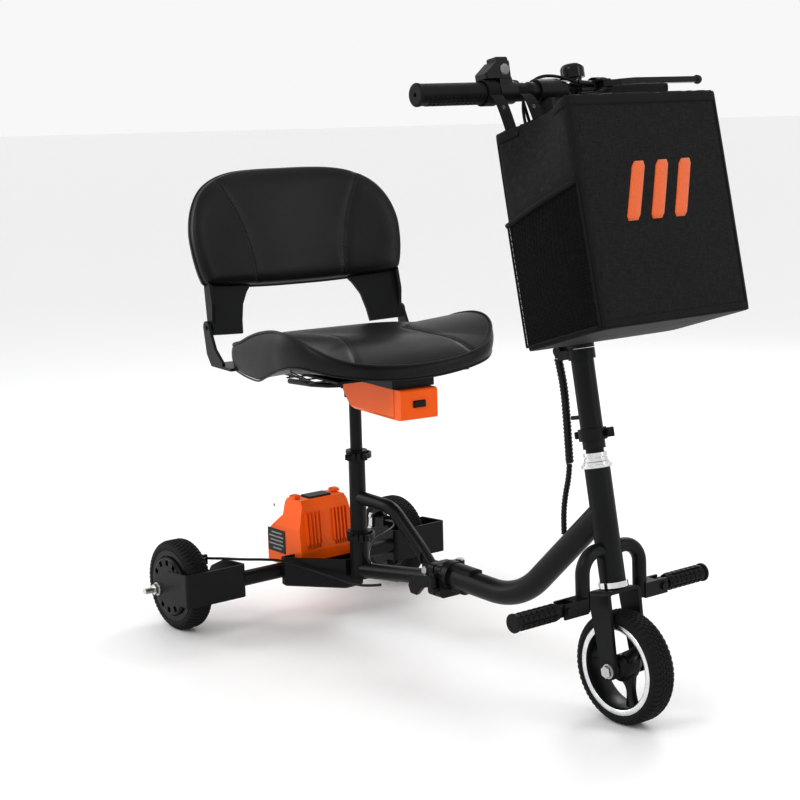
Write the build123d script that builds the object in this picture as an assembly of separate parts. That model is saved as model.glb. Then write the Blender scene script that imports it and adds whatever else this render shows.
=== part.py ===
from build123d import *
import os
from math import cos, pi, radians, sin, tan

# Folding three-wheeled travel scooter, in millimetres.
# X points forward, Y to the rider's left and Z up. Everything is laid out from the rear axle at X = 0, with
# the floor at Z = 0; save() moves it so that the origin lies under the middle of the machine's length.

# ---- driving dimensions ----
WHEELBASE = 893
FRONT_R, FRONT_W = 88, 44          # front wheel radius and tyre width
REAR_R, REAR_W = 83, 42            # rear wheel radius and tyre width
TRACK_HALF = 249                   # rear wheel mid-plane from the centre line
RAKE = 10.6                        # steering axis leans back by this angle
AXLE_R = 6
BAG_TOE = (213.5, 516)             # the bag's lower front edge, the machine's foremost point
FOREMOST_X = WHEELBASE + BAG_TOE[0] * cos(radians(RAKE)) - BAG_TOE[1] * sin(radians(RAKE))
MID_X = (FOREMOST_X - REAR_R) / 2

TUBE_CROSS = (87, 95, 14)          # cross tube: X, Z, radius
BRACKET_FRONT = 105                # front face of the wheel brackets
BRACKET_Y = (172, 297)             # inner and outer faces of a wheel bracket
BRACKET_Z = (66, 127)
PLATE = 4

SEAT_X = 220                       # seat post axis
SEAT_TUBE_R, POST_R = 15, 11
SEAT_TUBE_TOP = 330
PAN_Z = 486                        # underside of the seat pan

HINGE_X, HINGE_Y = 462, 36         # frame fold hinge pin
LATCH_PIVOT = (470, -31)           # frame latch pin: X, Y
JOINT_Z = 139                      # height of the frame joint's centre
MAIN_R = 20

HEAD_Z = (133, 309)                # head tube ends, measured along the steering axis from the front axle
STEM_R = 17.5
STEM_Z = (338, 491.5)              # lower stem tube ends along the steering axis
FOLD_X, FOLD_Z = -40, 492          # stem fold pivot in steering coordinates
BAR_Z = 886                        # handlebar height along the steering axis
BAR_R, GRIP_R, BAR_END = 10, 16, 254
LEVER_PIVOT = (33, 92)             # brake lever pin in steering coordinates: X, Y

SEAT_TURN = 8                      # the seat rests swivelled this far to the right
SEAT_HALF = 199                    # half the cushion's width
BACK_HINGE = (43, 552)             # backrest pivot: X, Z
BACK_TILT = 16                     # lean of the backrest
GAP = 0.5                          # clearance between pieces that move past each other
FIT = 0.08                         # radial clearance of a running fit

STEER = Location((WHEELBASE, 0, FRONT_R), (0, -RAKE, 0))
SWIVEL = Location((SEAT_X, 0, 0), (0, 0, -SEAT_TURN)) * Pos(-SEAT_X, 0, 0)


# ---- helpers ----
def save(name, *shapes):
    """Write one sub-part, moved to the machine's origin."""
    solids = [solid for shape in shapes for solid in shape.solids()]
    body = solids[0] if len(solids) == 1 else Compound(solids)
    export_step(Pos(-MID_X, 0, 0) * body, f"parts/{name}.step")


def steer(*shapes):
    """Place shapes drawn in steering coordinates: origin at the front axle, Z up the steering axis."""
    return [STEER * shape for shape in shapes]


def swivel(*shapes):
    """Turn shapes drawn straight ahead to the seat's rest direction, about the post."""
    return [SWIVEL * shape for shape in shapes]


def both_sides(shape):
    """A right-hand piece and its mirror image on the left."""
    return [shape, mirror(shape, about=Plane.XZ)]


def left_of(shape):
    return mirror(shape, about=Plane.XZ)


def rod(start, end, radius):
    start, end = Vector(*start), Vector(*end)
    plane = Plane(origin=start, z_dir=end - start)
    return extrude(plane * Circle(radius), amount=(end - start).length)


def tube(start, end, outer, inner):
    return rod(start, end, outer) - rod(start, end, inner)


def rod_y(x, z, radius, y0, y1):
    return rod((x, y0, z), (x, y1, z), radius)


def rod_z(x, y, radius, z0, z1):
    return rod((x, y, z0), (x, y, z1), radius)


def block(x, y, z):
    """A box from its low and high limits along each axis."""
    size = Box(x[1] - x[0], y[1] - y[0], z[1] - z[0])
    return Pos((x[0] + x[1]) / 2, (y[0] + y[1]) / 2, (z[0] + z[1]) / 2) * size


def plate_xz(points, y0, y1):
    """A plate drawn as an outline in X and Z, spanning y0 to y1."""
    outline = Plane.XZ * make_face(Polyline(*points, close=True))
    return Pos(0, y1, 0) * extrude(outline, amount=y1 - y0)


def plate_xy(points, z0, z1):
    return Pos(0, 0, z0) * extrude(make_face(Polyline(*points, close=True)), amount=z1 - z0)


def hex_y(x, z, radius, y0, y1):
    outline = Plane(origin=(x, y0, z), z_dir=(0, 1, 0)) * RegularPolygon(radius, 6)
    return extrude(outline, amount=y1 - y0)


def bent_tube(points, bend, outer, inner=0):
    """A tube along straight runs joined by arcs of one bend radius."""
    path = FilletPolyline(*points, radius=bend)
    start = Plane(origin=path @ 0, z_dir=path % 0)
    solid = sweep(start * Circle(outer), path=path)
    if inner:
        solid -= sweep(start * Circle(inner), path=path)
    return solid


def cable(name, points, radius):
    """A held cable: each arc is as large as its two runs allow. Prints its radii and checks its volume."""
    runs = [Vector(*b) - Vector(*a) for a, b in zip(points, points[1:])]
    bends = []
    for before, after in zip(runs, runs[1:]):
        half_turn = before.get_angle(after) / 2 * pi / 180
        bends.append(0.45 * min(before.length, after.length) / tan(half_turn))
    path = FilletPolyline(*points, radius=bends)
    solid = sweep(Plane(origin=path @ 0, z_dir=path % 0) * Circle(radius), path=path)
    expected = pi * radius ** 2 * path.length
    print(name, "length", round(path.length), "radii", [round(bend) for bend in bends],
          "volume ratio", round(solid.volume / expected, 3))
    return solid


# ---- wheels ----
def tyre(radius, width, seat, flange):
    """A solid tyre: its bead fills the rim between the flanges. seat and flange are (radius, width)."""
    bead = Pos((seat[0] + flange[0]) / 2, 0) * Rectangle(flange[0] - seat[0], seat[1])
    crown = Pos((flange[0] + radius) / 2, 0) * Rectangle(radius - flange[0], width)
    crown = fillet(crown.vertices().group_by(Axis.X)[-1], 10)
    return revolve(bead + crown, Axis.Y)


def barrel(seat, flange, wall):
    """The rim's barrel with a flange at each edge."""
    body = Cylinder(flange[0], flange[1]) - Cylinder(seat[0] - wall, flange[1])
    groove = Cylinder(flange[0], seat[1]) - Cylinder(seat[0], seat[1])
    return Rot(90, 0, 0) * (body - groove)


def spoked_rim(seat, flange, wall, hub_width):
    """A cast rim with three waisted spokes and a bored hub."""
    inner = seat[0] - wall
    outline = [(14, -13), (inner * 0.55, -7.5), (inner + 1, -14),
               (inner + 1, 14), (inner * 0.55, 7.5), (14, 13)]
    spoke = Pos(0, 7, 0) * extrude(Plane.XZ * make_face(Polyline(*outline, close=True)), amount=14)
    rim = barrel(seat, flange, wall) + Rot(90, 0, 0) * Cylinder(20, hub_width)
    for turn in range(3):
        rim += Rot(0, 90 + turn * 120, 0) * spoke
    return rim - Rot(90, 0, 0) * Cylinder(AXLE_R + FIT, hub_width + 40)


FRONT_SEAT, FRONT_FLANGE = (66, 36), (72, 42)
REAR_SEAT, REAR_FLANGE = (60, 34), (66, 40)
DRUM_R, DRUM_REACH = 46, 33        # brake drum on the inner side of each rear wheel


def rear_drum():
    """The brake drum, on the +Y side of a right-hand wheel centred on the origin."""
    return rod_y(0, 0, DRUM_R, REAR_SEAT[1] / 2 - 4, DRUM_REACH)


def hub_motor():
    """A geared hub motor: shell, domed outer cover and brake drum, turning on the fixed axle."""
    shell = barrel(REAR_SEAT, REAR_FLANGE, 4) + rod_y(0, 0, 57, -17, 17)
    cover = fillet(rod_y(0, 0, 54, -27, -16).edges().group_by(Axis.Y)[0], 6)
    boss = fillet(rod_y(0, 0, 17, -32, -26).edges().group_by(Axis.Y)[0], 3)
    motor = shell + cover + boss + rear_drum()
    for turn in range(12):
        pocket = Rot(0, turn * 30, 0) * Pos(44, -24, 0) * Box(10, 8, 9)
        motor -= pocket
    return motor - rod_y(0, 0, AXLE_R + FIT, -60, 60)


def make_wheels():
    right = Pos(0, -TRACK_HALF, REAR_R)
    save("tyre_rear_right", right * tyre(REAR_R, REAR_W, REAR_SEAT, REAR_FLANGE))
    save("hub_motor", right * hub_motor())
    left = Pos(0, TRACK_HALF, REAR_R)
    save("tyre_rear_left", left * tyre(REAR_R, REAR_W, REAR_SEAT, REAR_FLANGE))
    rim = spoked_rim(REAR_SEAT, REAR_FLANGE, 4, 40) + left_of(rear_drum())
    save("rim_rear_left", left * (rim - rod_y(0, 0, AXLE_R + FIT, -60, 60)))
    front = Pos(WHEELBASE, 0, FRONT_R)
    save("tyre_front", front * tyre(FRONT_R, FRONT_W, FRONT_SEAT, FRONT_FLANGE))
    save("rim_front", front * spoked_rim(FRONT_SEAT, FRONT_FLANGE, 4, 42))


# ---- rear frame ----
def wheel_bracket():
    """The right bracket, bent from plate: outer cheek, front web and inner cheek round the wheel."""
    y_in, y_out = -BRACKET_Y[0], -BRACKET_Y[1]
    z_low, z_high = BRACKET_Z
    plan = block((-18, BRACKET_FRONT), (y_out, y_in), (z_low, z_high))
    plan = fillet(plan.edges().filter_by(Axis.Z).group_by(Axis.X)[-1], 8)
    space = block((-40, BRACKET_FRONT - PLATE), (y_out + PLATE, y_in - PLATE), (z_low - 1, z_high + 1))
    space = fillet(space.edges().filter_by(Axis.Z).group_by(Axis.X)[-1], 4)
    side = [(BRACKET_FRONT, z_low), (BRACKET_FRONT, z_high), (36, z_high - 4), (-8, REAR_R + 20),
            (-18, REAR_R + 8), (-18, REAR_R - 6), (-8, REAR_R - 15), (30, z_low + 2)]
    silhouette = plate_xz(side, y_out - 1, y_in + 1)
    bracket = (plan - space) & silhouette
    return bracket - rod_y(0, REAR_R, AXLE_R, y_out - 5, y_in + 5)


def rear_axle():
    """The right axle with flats milled at its outer end."""
    axle = rod_y(0, REAR_R, AXLE_R, -325, -160)
    flats = block((-10, 10), (-326, -306), (REAR_R + 4.6, REAR_R + 9))
    return axle - flats - Pos(0, 0, 2 * REAR_R) * mirror(flats, about=Plane.XY)


def nut_stack(y0, y1, washer):
    """A nut on the rear axle, with its washer on the side that bears on the plate."""
    nut = hex_y(0, REAR_R, 10.5, y0, y1)
    ring = rod_y(0, REAR_R, 12, *washer)
    return (nut + ring) - rod_y(0, REAR_R, AXLE_R, -340, -100)


def make_axles():
    right_nuts = [nut_stack(-306, -299, (-299.5, -297)), nut_stack(-171, -164, (-172, -170.5)),
                  nut_stack(-205, -200, (-212.5, -204.5))]
    save("rear_axles", *both_sides(rear_axle()))
    bolt = hex_y(430, 150, 7.5, -19, -13.5) + rod_y(430, 150, 4, -14, 14) + hex_y(430, 150, 7, 13.5, 19)
    nuts = [piece for nut in right_nuts for piece in both_sides(nut)]
    pin = rod_z(HINGE_X, HINGE_Y, 4, 111, 167) + rod_z(HINGE_X, HINGE_Y, 6.5, 165, 168)
    save("frame_fasteners", *nuts, bolt, pin)


def brake_plate():
    """Right drum's fixed plate, with the stop that holds the end of the cable housing."""
    y_face = -TRACK_HALF + DRUM_REACH + GAP
    plate = rod_y(0, REAR_R, DRUM_R - 1, y_face, y_face + 3) - rod_y(0, REAR_R, AXLE_R, -260, -100)
    stop = block((20, 26), (y_face, y_face + 11), (REAR_R + 34, REAR_R + 52))
    return plate + stop - rod((0, y_face + 7, REAR_R + 46), (40, y_face + 7, REAR_R + 46), 2.4)


ARM_PIVOT = (-24, REAR_R + 18)     # brake arm pivot: X, Z


def brake_arm():
    """Right brake arm: a flat lever that the cable pulls forward."""
    y0 = -TRACK_HALF + DRUM_REACH + GAP + 3 + GAP
    x, z = ARM_PIVOT
    arm = plate_xz([(x - 6, z - 4), (x + 6, z - 4), (x + 8, z + 34), (x - 2, z + 34)], y0, y0 + 3)
    return arm + rod_y(x, z, 7, y0, y0 + 5) + rod_y(x + 3, z + 28, 4, y0, y0 + 6)


def base_tube():
    """Weldment of the seat tube's socket, the base tube and the rear half of the frame joint."""
    socket = rod_z(SEAT_X, 0, 17.5, 92, 182)
    start, end = (SEAT_X, 0, 106), (452, 0, 137.5)
    body = rod(start, end, 14)
    gusset = plate_xz([(234, 118), (234, 152), (240, 134), (252, 124), (275, 116)], -3, 3)
    flange = fillet(block((446, 460.5), (-24, 26), (111, 167)).edges().filter_by(Axis.X), 8)
    lugs = block((452, 460.5), (20, HINGE_Y), (113, 127)) + block((452, 460.5), (20, HINGE_Y), (151, 165))
    knuckles = rod_z(HINGE_X, HINGE_Y, 8, 113, 127) + rod_z(HINGE_X, HINGE_Y, 8, 151, 165)
    tabs = block((418, 442), (-13, -9), (134, 162)) + block((418, 442), (9, 13), (134, 162))
    weld = socket + body + gusset + flange + lugs + knuckles + tabs
    weld -= rod_z(SEAT_X, 0, SEAT_TUBE_R + 0.1, 96, 200)
    weld -= rod((SEAT_X + 15, 0, 108), (440, 0, 135.9), 12)
    weld -= rod_z(HINGE_X, HINGE_Y, 4, 100, 180)
    weld -= rod_z(HINGE_X, HINGE_Y, 9, 127, 151)
    return weld - rod_y(430, 150, 4, -20, 20)


def seat_tube():
    """The seat tube with its curved brace welded on; the brace's foot is bolted to the base tube."""
    upright = rod_z(SEAT_X, 0, SEAT_TUBE_R, 112, SEAT_TUBE_TOP)
    brace = bent_tube([(SEAT_X + 4, 0, 243), (322, 0, 240), (398, 0, 180), (430, 0, 150)], 60, 12)
    brace += block((420, 441), (-8.5, 8.5), (141, 160))
    brace -= rod((SEAT_X, 0, 106), (452, 0, 137.5), 14.2)
    for side in (-1, 1):
        brace -= block((412, 450), (side * 14 - 5.3, side * 14 + 5.3), (120, 180))
    tube_body = upright + brace
    return tube_body - rod_z(SEAT_X, 0, POST_R + FIT, 100, 340) - rod_y(430, 150, 4, -20, 20)


def cross_tube():
    x, z, radius = TUBE_CROSS
    reach = BRACKET_Y[0] + PLATE
    solid = tube((x, -reach + PLATE, z), (x, reach - PLATE, z), radius, radius - 2)
    return solid


TRAY = [(101.5, -92), (111, -92), (202, -19), (202, 19), (111, 92), (101.5, 92)]


def tray():
    """A folded sheet tray between the cross tube and the seat tube, open at the top and at the housing."""
    outer = plate_xy(TRAY, 70, 125)
    outer = chamfer(outer.edges().group_by(Axis.Z)[0], 3.5)
    inner = offset(make_face(Polyline(*TRAY, close=True)), amount=-3, kind=Kind.INTERSECTION)
    return outer - Pos(0, 0, 73) * extrude(inner, amount=60) - block((100, 108), (-64, 64), (73, 126))


HOUSING_SIDE = [(14, 96), (70, 96), (70, 110), (124, 110), (124, 128), (116, 214), (108, 224), (66, 224),
                (60, 216), (60, 192), (20, 160), (14, 152)]


def housing_block(inset):
    """The controller housing's tapered body; inset shrinks it to its hollow."""
    side = make_face(Polyline(*HOUSING_SIDE, close=True))
    side = offset(side, amount=-inset, kind=Kind.INTERSECTION) if inset else side
    half = 62 - inset
    body = Pos(0, half, 0) * extrude(Plane.XZ * side, amount=2 * half)
    taper = [(-half, 90), (-half, 170), (-half + 13, 226), (half - 13, 226), (half, 170), (half, 90)]
    ends = extrude(Plane.YZ * make_face(Polyline(*taper, close=True)), amount=200)
    return body & ends


def controller_housing():
    """Moulded two-part housing with vent ribs on its front face and a finger recess in the side."""
    shell = housing_block(0)
    shell = shell - housing_block(3)
    shell -= block((72, 104), (-26, 26), (219, 226))
    for side in (-1, 1):
        for step in range(5):
            y = side * (14 + step * 8)
            shell += Pos(121.5, y, 172) * Rot(0, -5.3, 0) * Box(5, 3, 60)
    return shell


def housing_latch():
    """Right flip latch on top of the housing."""
    hook = block((78, 92), (-52, -38), (225, 229)) + rod_y(79, 228, 3.5, -52, -38)
    return hook + block((88, 92), (-50, -40), (229, 232))


def make_rear_frame():
    save("base_tube", base_tube())
    save("seat_tube", seat_tube())
    save("cross_tube", cross_tube())
    bracket = wheel_bracket()
    save("bracket_right", bracket)
    save("bracket_left", left_of(bracket))
    make_axles()
    save("brake_plates", *both_sides(brake_plate()))
    save("brake_arm_right", brake_arm())
    save("brake_arm_left", left_of(brake_arm()))
    save("tray", tray())
    save("controller_housing", controller_housing())
    save("housing_panel", block((74, 102), (-24, 24), (221, 227)))
    module = block((30, 52), (-45, 45), (104, 150)) + block((52, 110), (-45, 45), (118, 150))
    save("controller_module", module)
    save("housing_latch_right", housing_latch())
    save("housing_latch_left", left_of(housing_latch()))


# ---- quick-release clamps ----
def clamp(inner, height=18):
    """A split ring on the Z axis, with its ears, skewer and nut towards +X."""
    ring = Cylinder(inner + 4.5, height)
    ears = block((0, inner + 15), (-8, 8), (-height / 2 + 2, height / 2 - 2))
    slit = block((inner - 2, inner + 16), (-1.25, 1.25), (-height, height))
    skewer = rod((inner + 9, -16, 0), (inner + 9, 8, 0), 2.6)
    nut = rod((inner + 9, -20, 0), (inner + 9, -8, 0), 5)
    return ring + ears - slit + skewer + nut - Cylinder(inner, height + 2)


CLAMP_CAM = (9, 14.5)              # cam pivot of a clamp: beyond the inner radius, and across


def clamp_lever(inner):
    """The clamp's cam lever, curved round the ring when closed."""
    x, y = inner + CLAMP_CAM[0], CLAMP_CAM[1]
    blade = Cylinder(inner + 12, 9) - Cylinder(inner + 8, 9)
    keep = make_face(Polyline((0, 0), (inner + 9, 15), (inner + 9, 60), (-60, 60), (-60, 26), close=True))
    blade &= Pos(0, 0, -10) * extrude(keep, amount=20)
    tip = Pos(-inner - 5, (inner + 5) * 0.62, 0) * Cylinder(3.5, 11)
    return Pos(x, y, 0) * Cylinder(5.5, 11) + blade + tip


SEAT_CLAMP = Location((SEAT_X, 0, SEAT_TUBE_TOP - 9), (0, 0, -38))
BASE_CLAMP = Location((SEAT_X, 0, 172), (0, 0, -38))
STEM_CLAMP = Location((0, 0, 360), (0, 0, 50))


def make_clamps():
    save("clamp_rings", SEAT_CLAMP * clamp(SEAT_TUBE_R), BASE_CLAMP * clamp(17.5))
    save("seat_clamp_lever", SEAT_CLAMP * clamp_lever(SEAT_TUBE_R))
    save("base_clamp_lever", BASE_CLAMP * clamp_lever(17.5))
    save("stem_clamp_lever", *steer(STEM_CLAMP * clamp_lever(STEM_R)))


# ---- front frame ----
def main_tube():
    """Weldment of the swept main tube, the head tube and the front half of the frame joint."""
    path = [(470, 0, 149), (655, 0, 143), (853, 0, 329)]
    swept = bent_tube(path, 160, MAIN_R)
    head = STEER * rod_z(0, 0, MAIN_R, *HEAD_Z)
    flange = fillet(block((463.5, 480), (-24, 26), (111, 167)).edges().filter_by(Axis.X), 8)
    lug = block((463.5, 474), (20, HINGE_Y), (127.5, 150.5))
    knuckle = rod_z(HINGE_X, HINGE_Y, 8, 127.5, 150.5)
    collar = rod((476, 0, 149), (494, 0, 148.4), 26)
    saddle = rod((490, 0, 148.5), (545, 0, 146.7), 25) & block((480, 550), (-14, 14), (160, 180))
    chin = rod((490, 0, 148.5), (522, 0, 147.5), 25) & block((480, 530), (-14, 14), (110, 135))
    latch_x, latch_y = LATCH_PIVOT
    lugs = block((464, 477), (latch_y - 5, -20), (124, 129.5))
    lugs += block((464, 477), (latch_y - 5, -20), (150.5, 156))
    lugs += rod_z(latch_x, latch_y, 3, 124, 156)
    weld = flange + lug + knuckle + collar + saddle + chin + lugs + swept + head
    weld -= bent_tube([(480, 0, 148.7), (655, 0, 143), (838, 0, 315)], 160, MAIN_R - 2.5)
    weld -= STEER * rod_z(0, 0, MAIN_R - 3, HEAD_Z[0] - 10, HEAD_Z[1] + 10)
    weld -= rod_z(HINGE_X, HINGE_Y, 4.3, 100, 180)
    weld -= STEER * rod((-91, 0, 236), (-99, 0, 176), 5.6)
    return weld


PEG_X, PEG_Y, PEG_Z = 866, 102, 193   # footpeg pivot
BOW_Y = 61                            # the footpeg tube comes down this far from the centre line


def peg_tube():
    """Right footpeg tube: out of the head tube, over and down, ending in a clevis."""
    bow = bent_tube([(860, -8, 262), (864, -BOW_Y, 294), (PEG_X, -BOW_Y, 182)], 32, 11)
    bow -= STEER * rod_z(0, 0, MAIN_R, *HEAD_Z)
    cheeks = block((PEG_X - 13, PEG_X - 9), (-PEG_Y - 8, -BOW_Y), (181, 205))
    cheeks += block((PEG_X + 9, PEG_X + 13), (-PEG_Y - 8, -BOW_Y), (181, 205))
    web = block((PEG_X - 13, PEG_X + 13), (-PEG_Y + 13, -BOW_Y), (201, 205))
    bolt = rod((PEG_X - 16, -PEG_Y, PEG_Z), (PEG_X + 16, -PEG_Y, PEG_Z), 4)
    heads = rod((PEG_X + 13, -PEG_Y, PEG_Z), (PEG_X + 16.5, -PEG_Y, PEG_Z), 6.5)
    heads += rod((PEG_X - 16.5, -PEG_Y, PEG_Z), (PEG_X - 13, -PEG_Y, PEG_Z), 6.5)
    return bow + cheeks + web + bolt + heads


def peg():
    """Right folding footpeg: steel root, ribbed rubber sleeve and end ring."""
    root = block((PEG_X - 8.5, PEG_X + 8.5), (-PEG_Y - 16, -PEG_Y), (PEG_Z - 8, PEG_Z + 8))
    root += rod((PEG_X - 8.5, -PEG_Y, PEG_Z), (PEG_X + 8.5, -PEG_Y, PEG_Z), 8)
    sleeve = rod((PEG_X, -204, PEG_Z), (PEG_X, -PEG_Y - 15.5, PEG_Z), 12.5)
    ring = rod((PEG_X, -204, PEG_Z), (PEG_X, -199, PEG_Z), 14)
    grooves = [Pos(PEG_X, -159, PEG_Z) * Rot(0, turn * 30, 0) * Pos(12.5, 0, 0) * Box(2.4, 66, 2.4)
               for turn in range(12)]
    solid = root + sleeve + ring
    for groove in grooves:
        solid -= groove
    return solid - rod((PEG_X - 20, -PEG_Y, PEG_Z), (PEG_X + 20, -PEG_Y, PEG_Z), 4 + FIT)


def frame_latch():
    """Cam lever on the joint's right side: a grip plate with a rounded lobe, on the front lug's pin."""
    x, y = LATCH_PIVOT
    grip = plate_xz([(x, 130), (x, 150), (x - 34, 146), (x - 62, 137), (x - 68, 122), (x - 62, 109),
                     (x - 46, 108), (x - 30, 124), (x - 8, 130)], y - 1, y + 6)
    grip = fillet(grip.edges().filter_by(Axis.Y).group_by(Axis.X)[0], 5)
    boss = rod_z(x, y, 6, 130, 150)
    return grip + boss - rod_z(x, y, 3 + FIT, 100, 180)


def make_front_frame():
    save("main_tube", main_tube())
    save("peg_tubes", *both_sides(peg_tube()))
    save("footpeg_right", peg())
    save("footpeg_left", left_of(peg()))
    save("frame_latch", frame_latch())
    low, high = HEAD_Z
    lower = rod_z(0, 0, 23, low - 9, low) + rod_z(0, 0, MAIN_R - 3, low, low + 12)
    upper = rod_z(0, 0, 24, high, high + 5) + rod_z(0, 0, 20.5, high + 5, high + 9)
    upper += rod_z(0, 0, MAIN_R - 3, high - 12, high)
    bore = rod_z(0, 0, 14 + FIT, low - 20, high + 20)
    save("headset_cups", *steer(lower - bore, upper - bore))


# ---- steering column ----
def fork():
    """Plate fork, bent over the wheel, with its steerer tube."""
    section = [(-35, 0), (-35, 122), (35, 122), (35, 0)]
    outer = extrude(Plane.YZ * make_face(Polyline(*[(y, z - 20 * (z == 0)) for y, z in section], close=True)),
                    amount=60, both=True)
    outer = fillet(outer.edges().filter_by(Axis.X).group_by(Axis.Z)[-1], 9)
    space = block((-61, 61), (-29, 29), (-60, 116))
    space = fillet(space.edges().filter_by(Axis.X).group_by(Axis.Z)[-1], 3)
    side = [(-22, 123), (-21, 96), (-15, 0), (-9, -12), (0, -15), (9, -12), (15, 0), (21, 96), (22, 123)]
    legs = (outer - space) & plate_xz(side, -40, 40)
    steerer = rod_z(0, 0, 14, 121, 470) - rod_z(0, 0, 11.5, 100, 480)
    return legs + steerer - rod_y(0, 0, AXLE_R, -60, 60)


def front_axle():
    shaft = rod_y(0, 0, AXLE_R, -42, 42)
    heads = hex_y(0, 0, 10, -42, -36) + hex_y(0, 0, 10, 36, 42)
    washers = rod_y(0, 0, 11.5, -36.5, -35) + rod_y(0, 0, 11.5, 35, 36.5)
    spacers = rod_y(0, 0, 10, -29, -22) + rod_y(0, 0, 10, 22, 29)
    return shaft + heads + washers + spacers


def headset_nuts():
    """Lock nut stack on the steerer, above the upper cup."""
    high = HEAD_Z[1] + 9
    stack = rod_z(0, 0, 18.5, high + GAP, high + 6) + rod_z(0, 0, 16, high + 6, high + 8)
    stack += rod_z(0, 0, 18.5, high + 8, high + 14)
    return stack - rod_z(0, 0, 14, 100, 500)


def lower_stem():
    """Lower stem tube with its clamp and the lower half of the fold joint."""
    body = rod_z(0, 0, STEM_R, *STEM_Z)
    collar = rod_z(0, 0, 21, STEM_Z[1] - 16, STEM_Z[1])
    ears = block((FOLD_X, -16), (-14, -7), (STEM_Z[1] - 14, STEM_Z[1]))
    ears += block((FOLD_X, -16), (7, 14), (STEM_Z[1] - 14, STEM_Z[1]))
    ears += rod_y(FOLD_X, FOLD_Z, 8, -14, -7) + rod_y(FOLD_X, FOLD_Z, 8, 7, 14)
    pin = rod_y(FOLD_X, FOLD_Z, 3, -14, 14)
    guide = block((-40, -16), (-3, 3), (384, 390))
    weld = body + collar + ears + guide + STEM_CLAMP * clamp(STEM_R)
    weld -= rod_z(0, 0, 14 + FIT, 300, 500)
    return weld + pin


def upper_stem():
    """Upper stem tube with the upper half of the fold joint and the handlebar clamp."""
    start = FOLD_Z + GAP
    body = rod_z(0, 0, STEM_R, start, BAR_Z - 12) - rod_z(0, 0, STEM_R - 2, start + 12, BAR_Z - 25)
    collar = rod_z(0, 0, 21, start, start + 20)
    web = block((FOLD_X, -16), (-6.5, 6.5), (start, start + 14))
    knuckle = rod_y(FOLD_X, FOLD_Z, 8, -6.5, 6.5)
    head = rod_y(0, BAR_Z, 19, -22, 22)
    weld = body + collar + web + knuckle + head
    weld -= rod_y(0, BAR_Z, 15, -30, 30)
    return weld - rod_y(FOLD_X, FOLD_Z, 3.3, -20, 20)


def handlebar():
    """A round bar, thicker where the stem grips it."""
    bar = rod_y(0, BAR_Z, BAR_R, -250, 250) + rod_y(0, BAR_Z, 15, -36, 36)
    wide = Plane.XZ.offset(-36) * Pos(0, BAR_Z) * Circle(15)
    narrow = Plane.XZ.offset(-48) * Pos(0, BAR_Z) * Circle(BAR_R)
    cone = loft([wide, narrow])
    return bar + cone + left_of(cone)


def grip():
    """Left rubber grip, closed at its outer end."""
    sleeve = rod_y(0, BAR_Z, GRIP_R, 104, BAR_END)
    sleeve = fillet(sleeve.edges().group_by(Axis.Y)[-1], 3)
    return sleeve - rod_y(0, BAR_Z, BAR_R, 100, 250) - rod_y(0, BAR_Z, 3, 200, 260)


def throttle_grip():
    """Right twist grip, free to turn on the bar."""
    sleeve = rod_y(0, BAR_Z, GRIP_R, -BAR_END, -104)
    sleeve = fillet(sleeve.edges().group_by(Axis.Y)[0], 3)
    return sleeve - rod_y(0, BAR_Z, BAR_R + FIT, -250.3, -100) - rod_y(0, BAR_Z, 3, -260, -200)


def control_pod():
    """Throttle housing with the light and horn pod on top."""
    housing = rod_y(0, BAR_Z, 17.5, -103.5, -70)
    bridge = block((-13, 13), (-100, -76), (BAR_Z + 8, BAR_Z + 20))
    outline = [(-126, 905), (-126, 913), (-102, 931), (-76, 931), (-76, 905)]
    wedge = Plane.YZ * make_face(Polyline(*outline, close=True))
    top = fillet(extrude(wedge, amount=14, both=True).edges().filter_by(Axis.Z), 4)
    lens = fillet(block((-11, 11), (-100, -78), (931, 938)).edges().group_by(Axis.Z)[-1], 3)
    pod = housing + bridge + top + lens
    pod -= rod((-15, -90, 918), (-6, -90, 918), 6.4)
    return pod - rod_y(0, BAR_Z, BAR_R, -110, -60)


def brake_perch():
    """Brake lever mount: bar clamp, forward jaws and the cable adjusters."""
    ring = rod_y(0, BAR_Z, 15, 80, 98)
    arm = block((10, 26), (80, 98), (BAR_Z - 8, BAR_Z + 10))
    jaws = block((24, 40), (82, 102), (BAR_Z - 6, BAR_Z - 3))
    jaws += block((24, 40), (82, 102), (BAR_Z + 7, BAR_Z + 10))
    barrels = rod((20, 81, BAR_Z + 6), (17, 54, BAR_Z + 9), 4.2)
    barrels += rod((22, 81, BAR_Z - 3), (19, 56, BAR_Z - 3), 4.2)
    pin = rod_z(*LEVER_PIVOT, 2.5, BAR_Z - 7, BAR_Z + 11.5)
    return ring + arm + jaws + barrels + pin - rod_y(0, BAR_Z, BAR_R, 60, 110)


def brake_lever():
    """Brake lever: a curved blade in front of the left grip, ending in a ball."""
    x, y = LEVER_PIVOT
    outline = [(x - 5, y - 5), (x + 6, y - 5), (x + 22, y + 16), (x + 29, y + 40), (x + 28, 274),
               (x + 20, 274), (x + 20, y + 46), (x + 13, y + 24), (x - 5, y + 8)]
    blade = plate_xy(outline, BAR_Z - 2.5, BAR_Z + 6.5)
    ball = Pos(x + 24, 277, BAR_Z + 2) * Sphere(7.5)
    return blade + ball - rod_z(x, y, 2.5 + FIT, BAR_Z - 10, BAR_Z + 15)


def bell():
    """Bell dome over its base and bar clamp."""
    ring = rod_y(0, BAR_Z, 13.5, 57, 67) - rod_y(0, BAR_Z, BAR_R, 50, 75)
    post = rod_z(0, 62, 5, BAR_Z + 11, BAR_Z + 22)
    dome = fillet(rod_z(0, 62, 18.5, BAR_Z + 19, BAR_Z + 41).edges().group_by(Axis.Z)[-1], 9)
    return ring + post + dome


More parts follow.
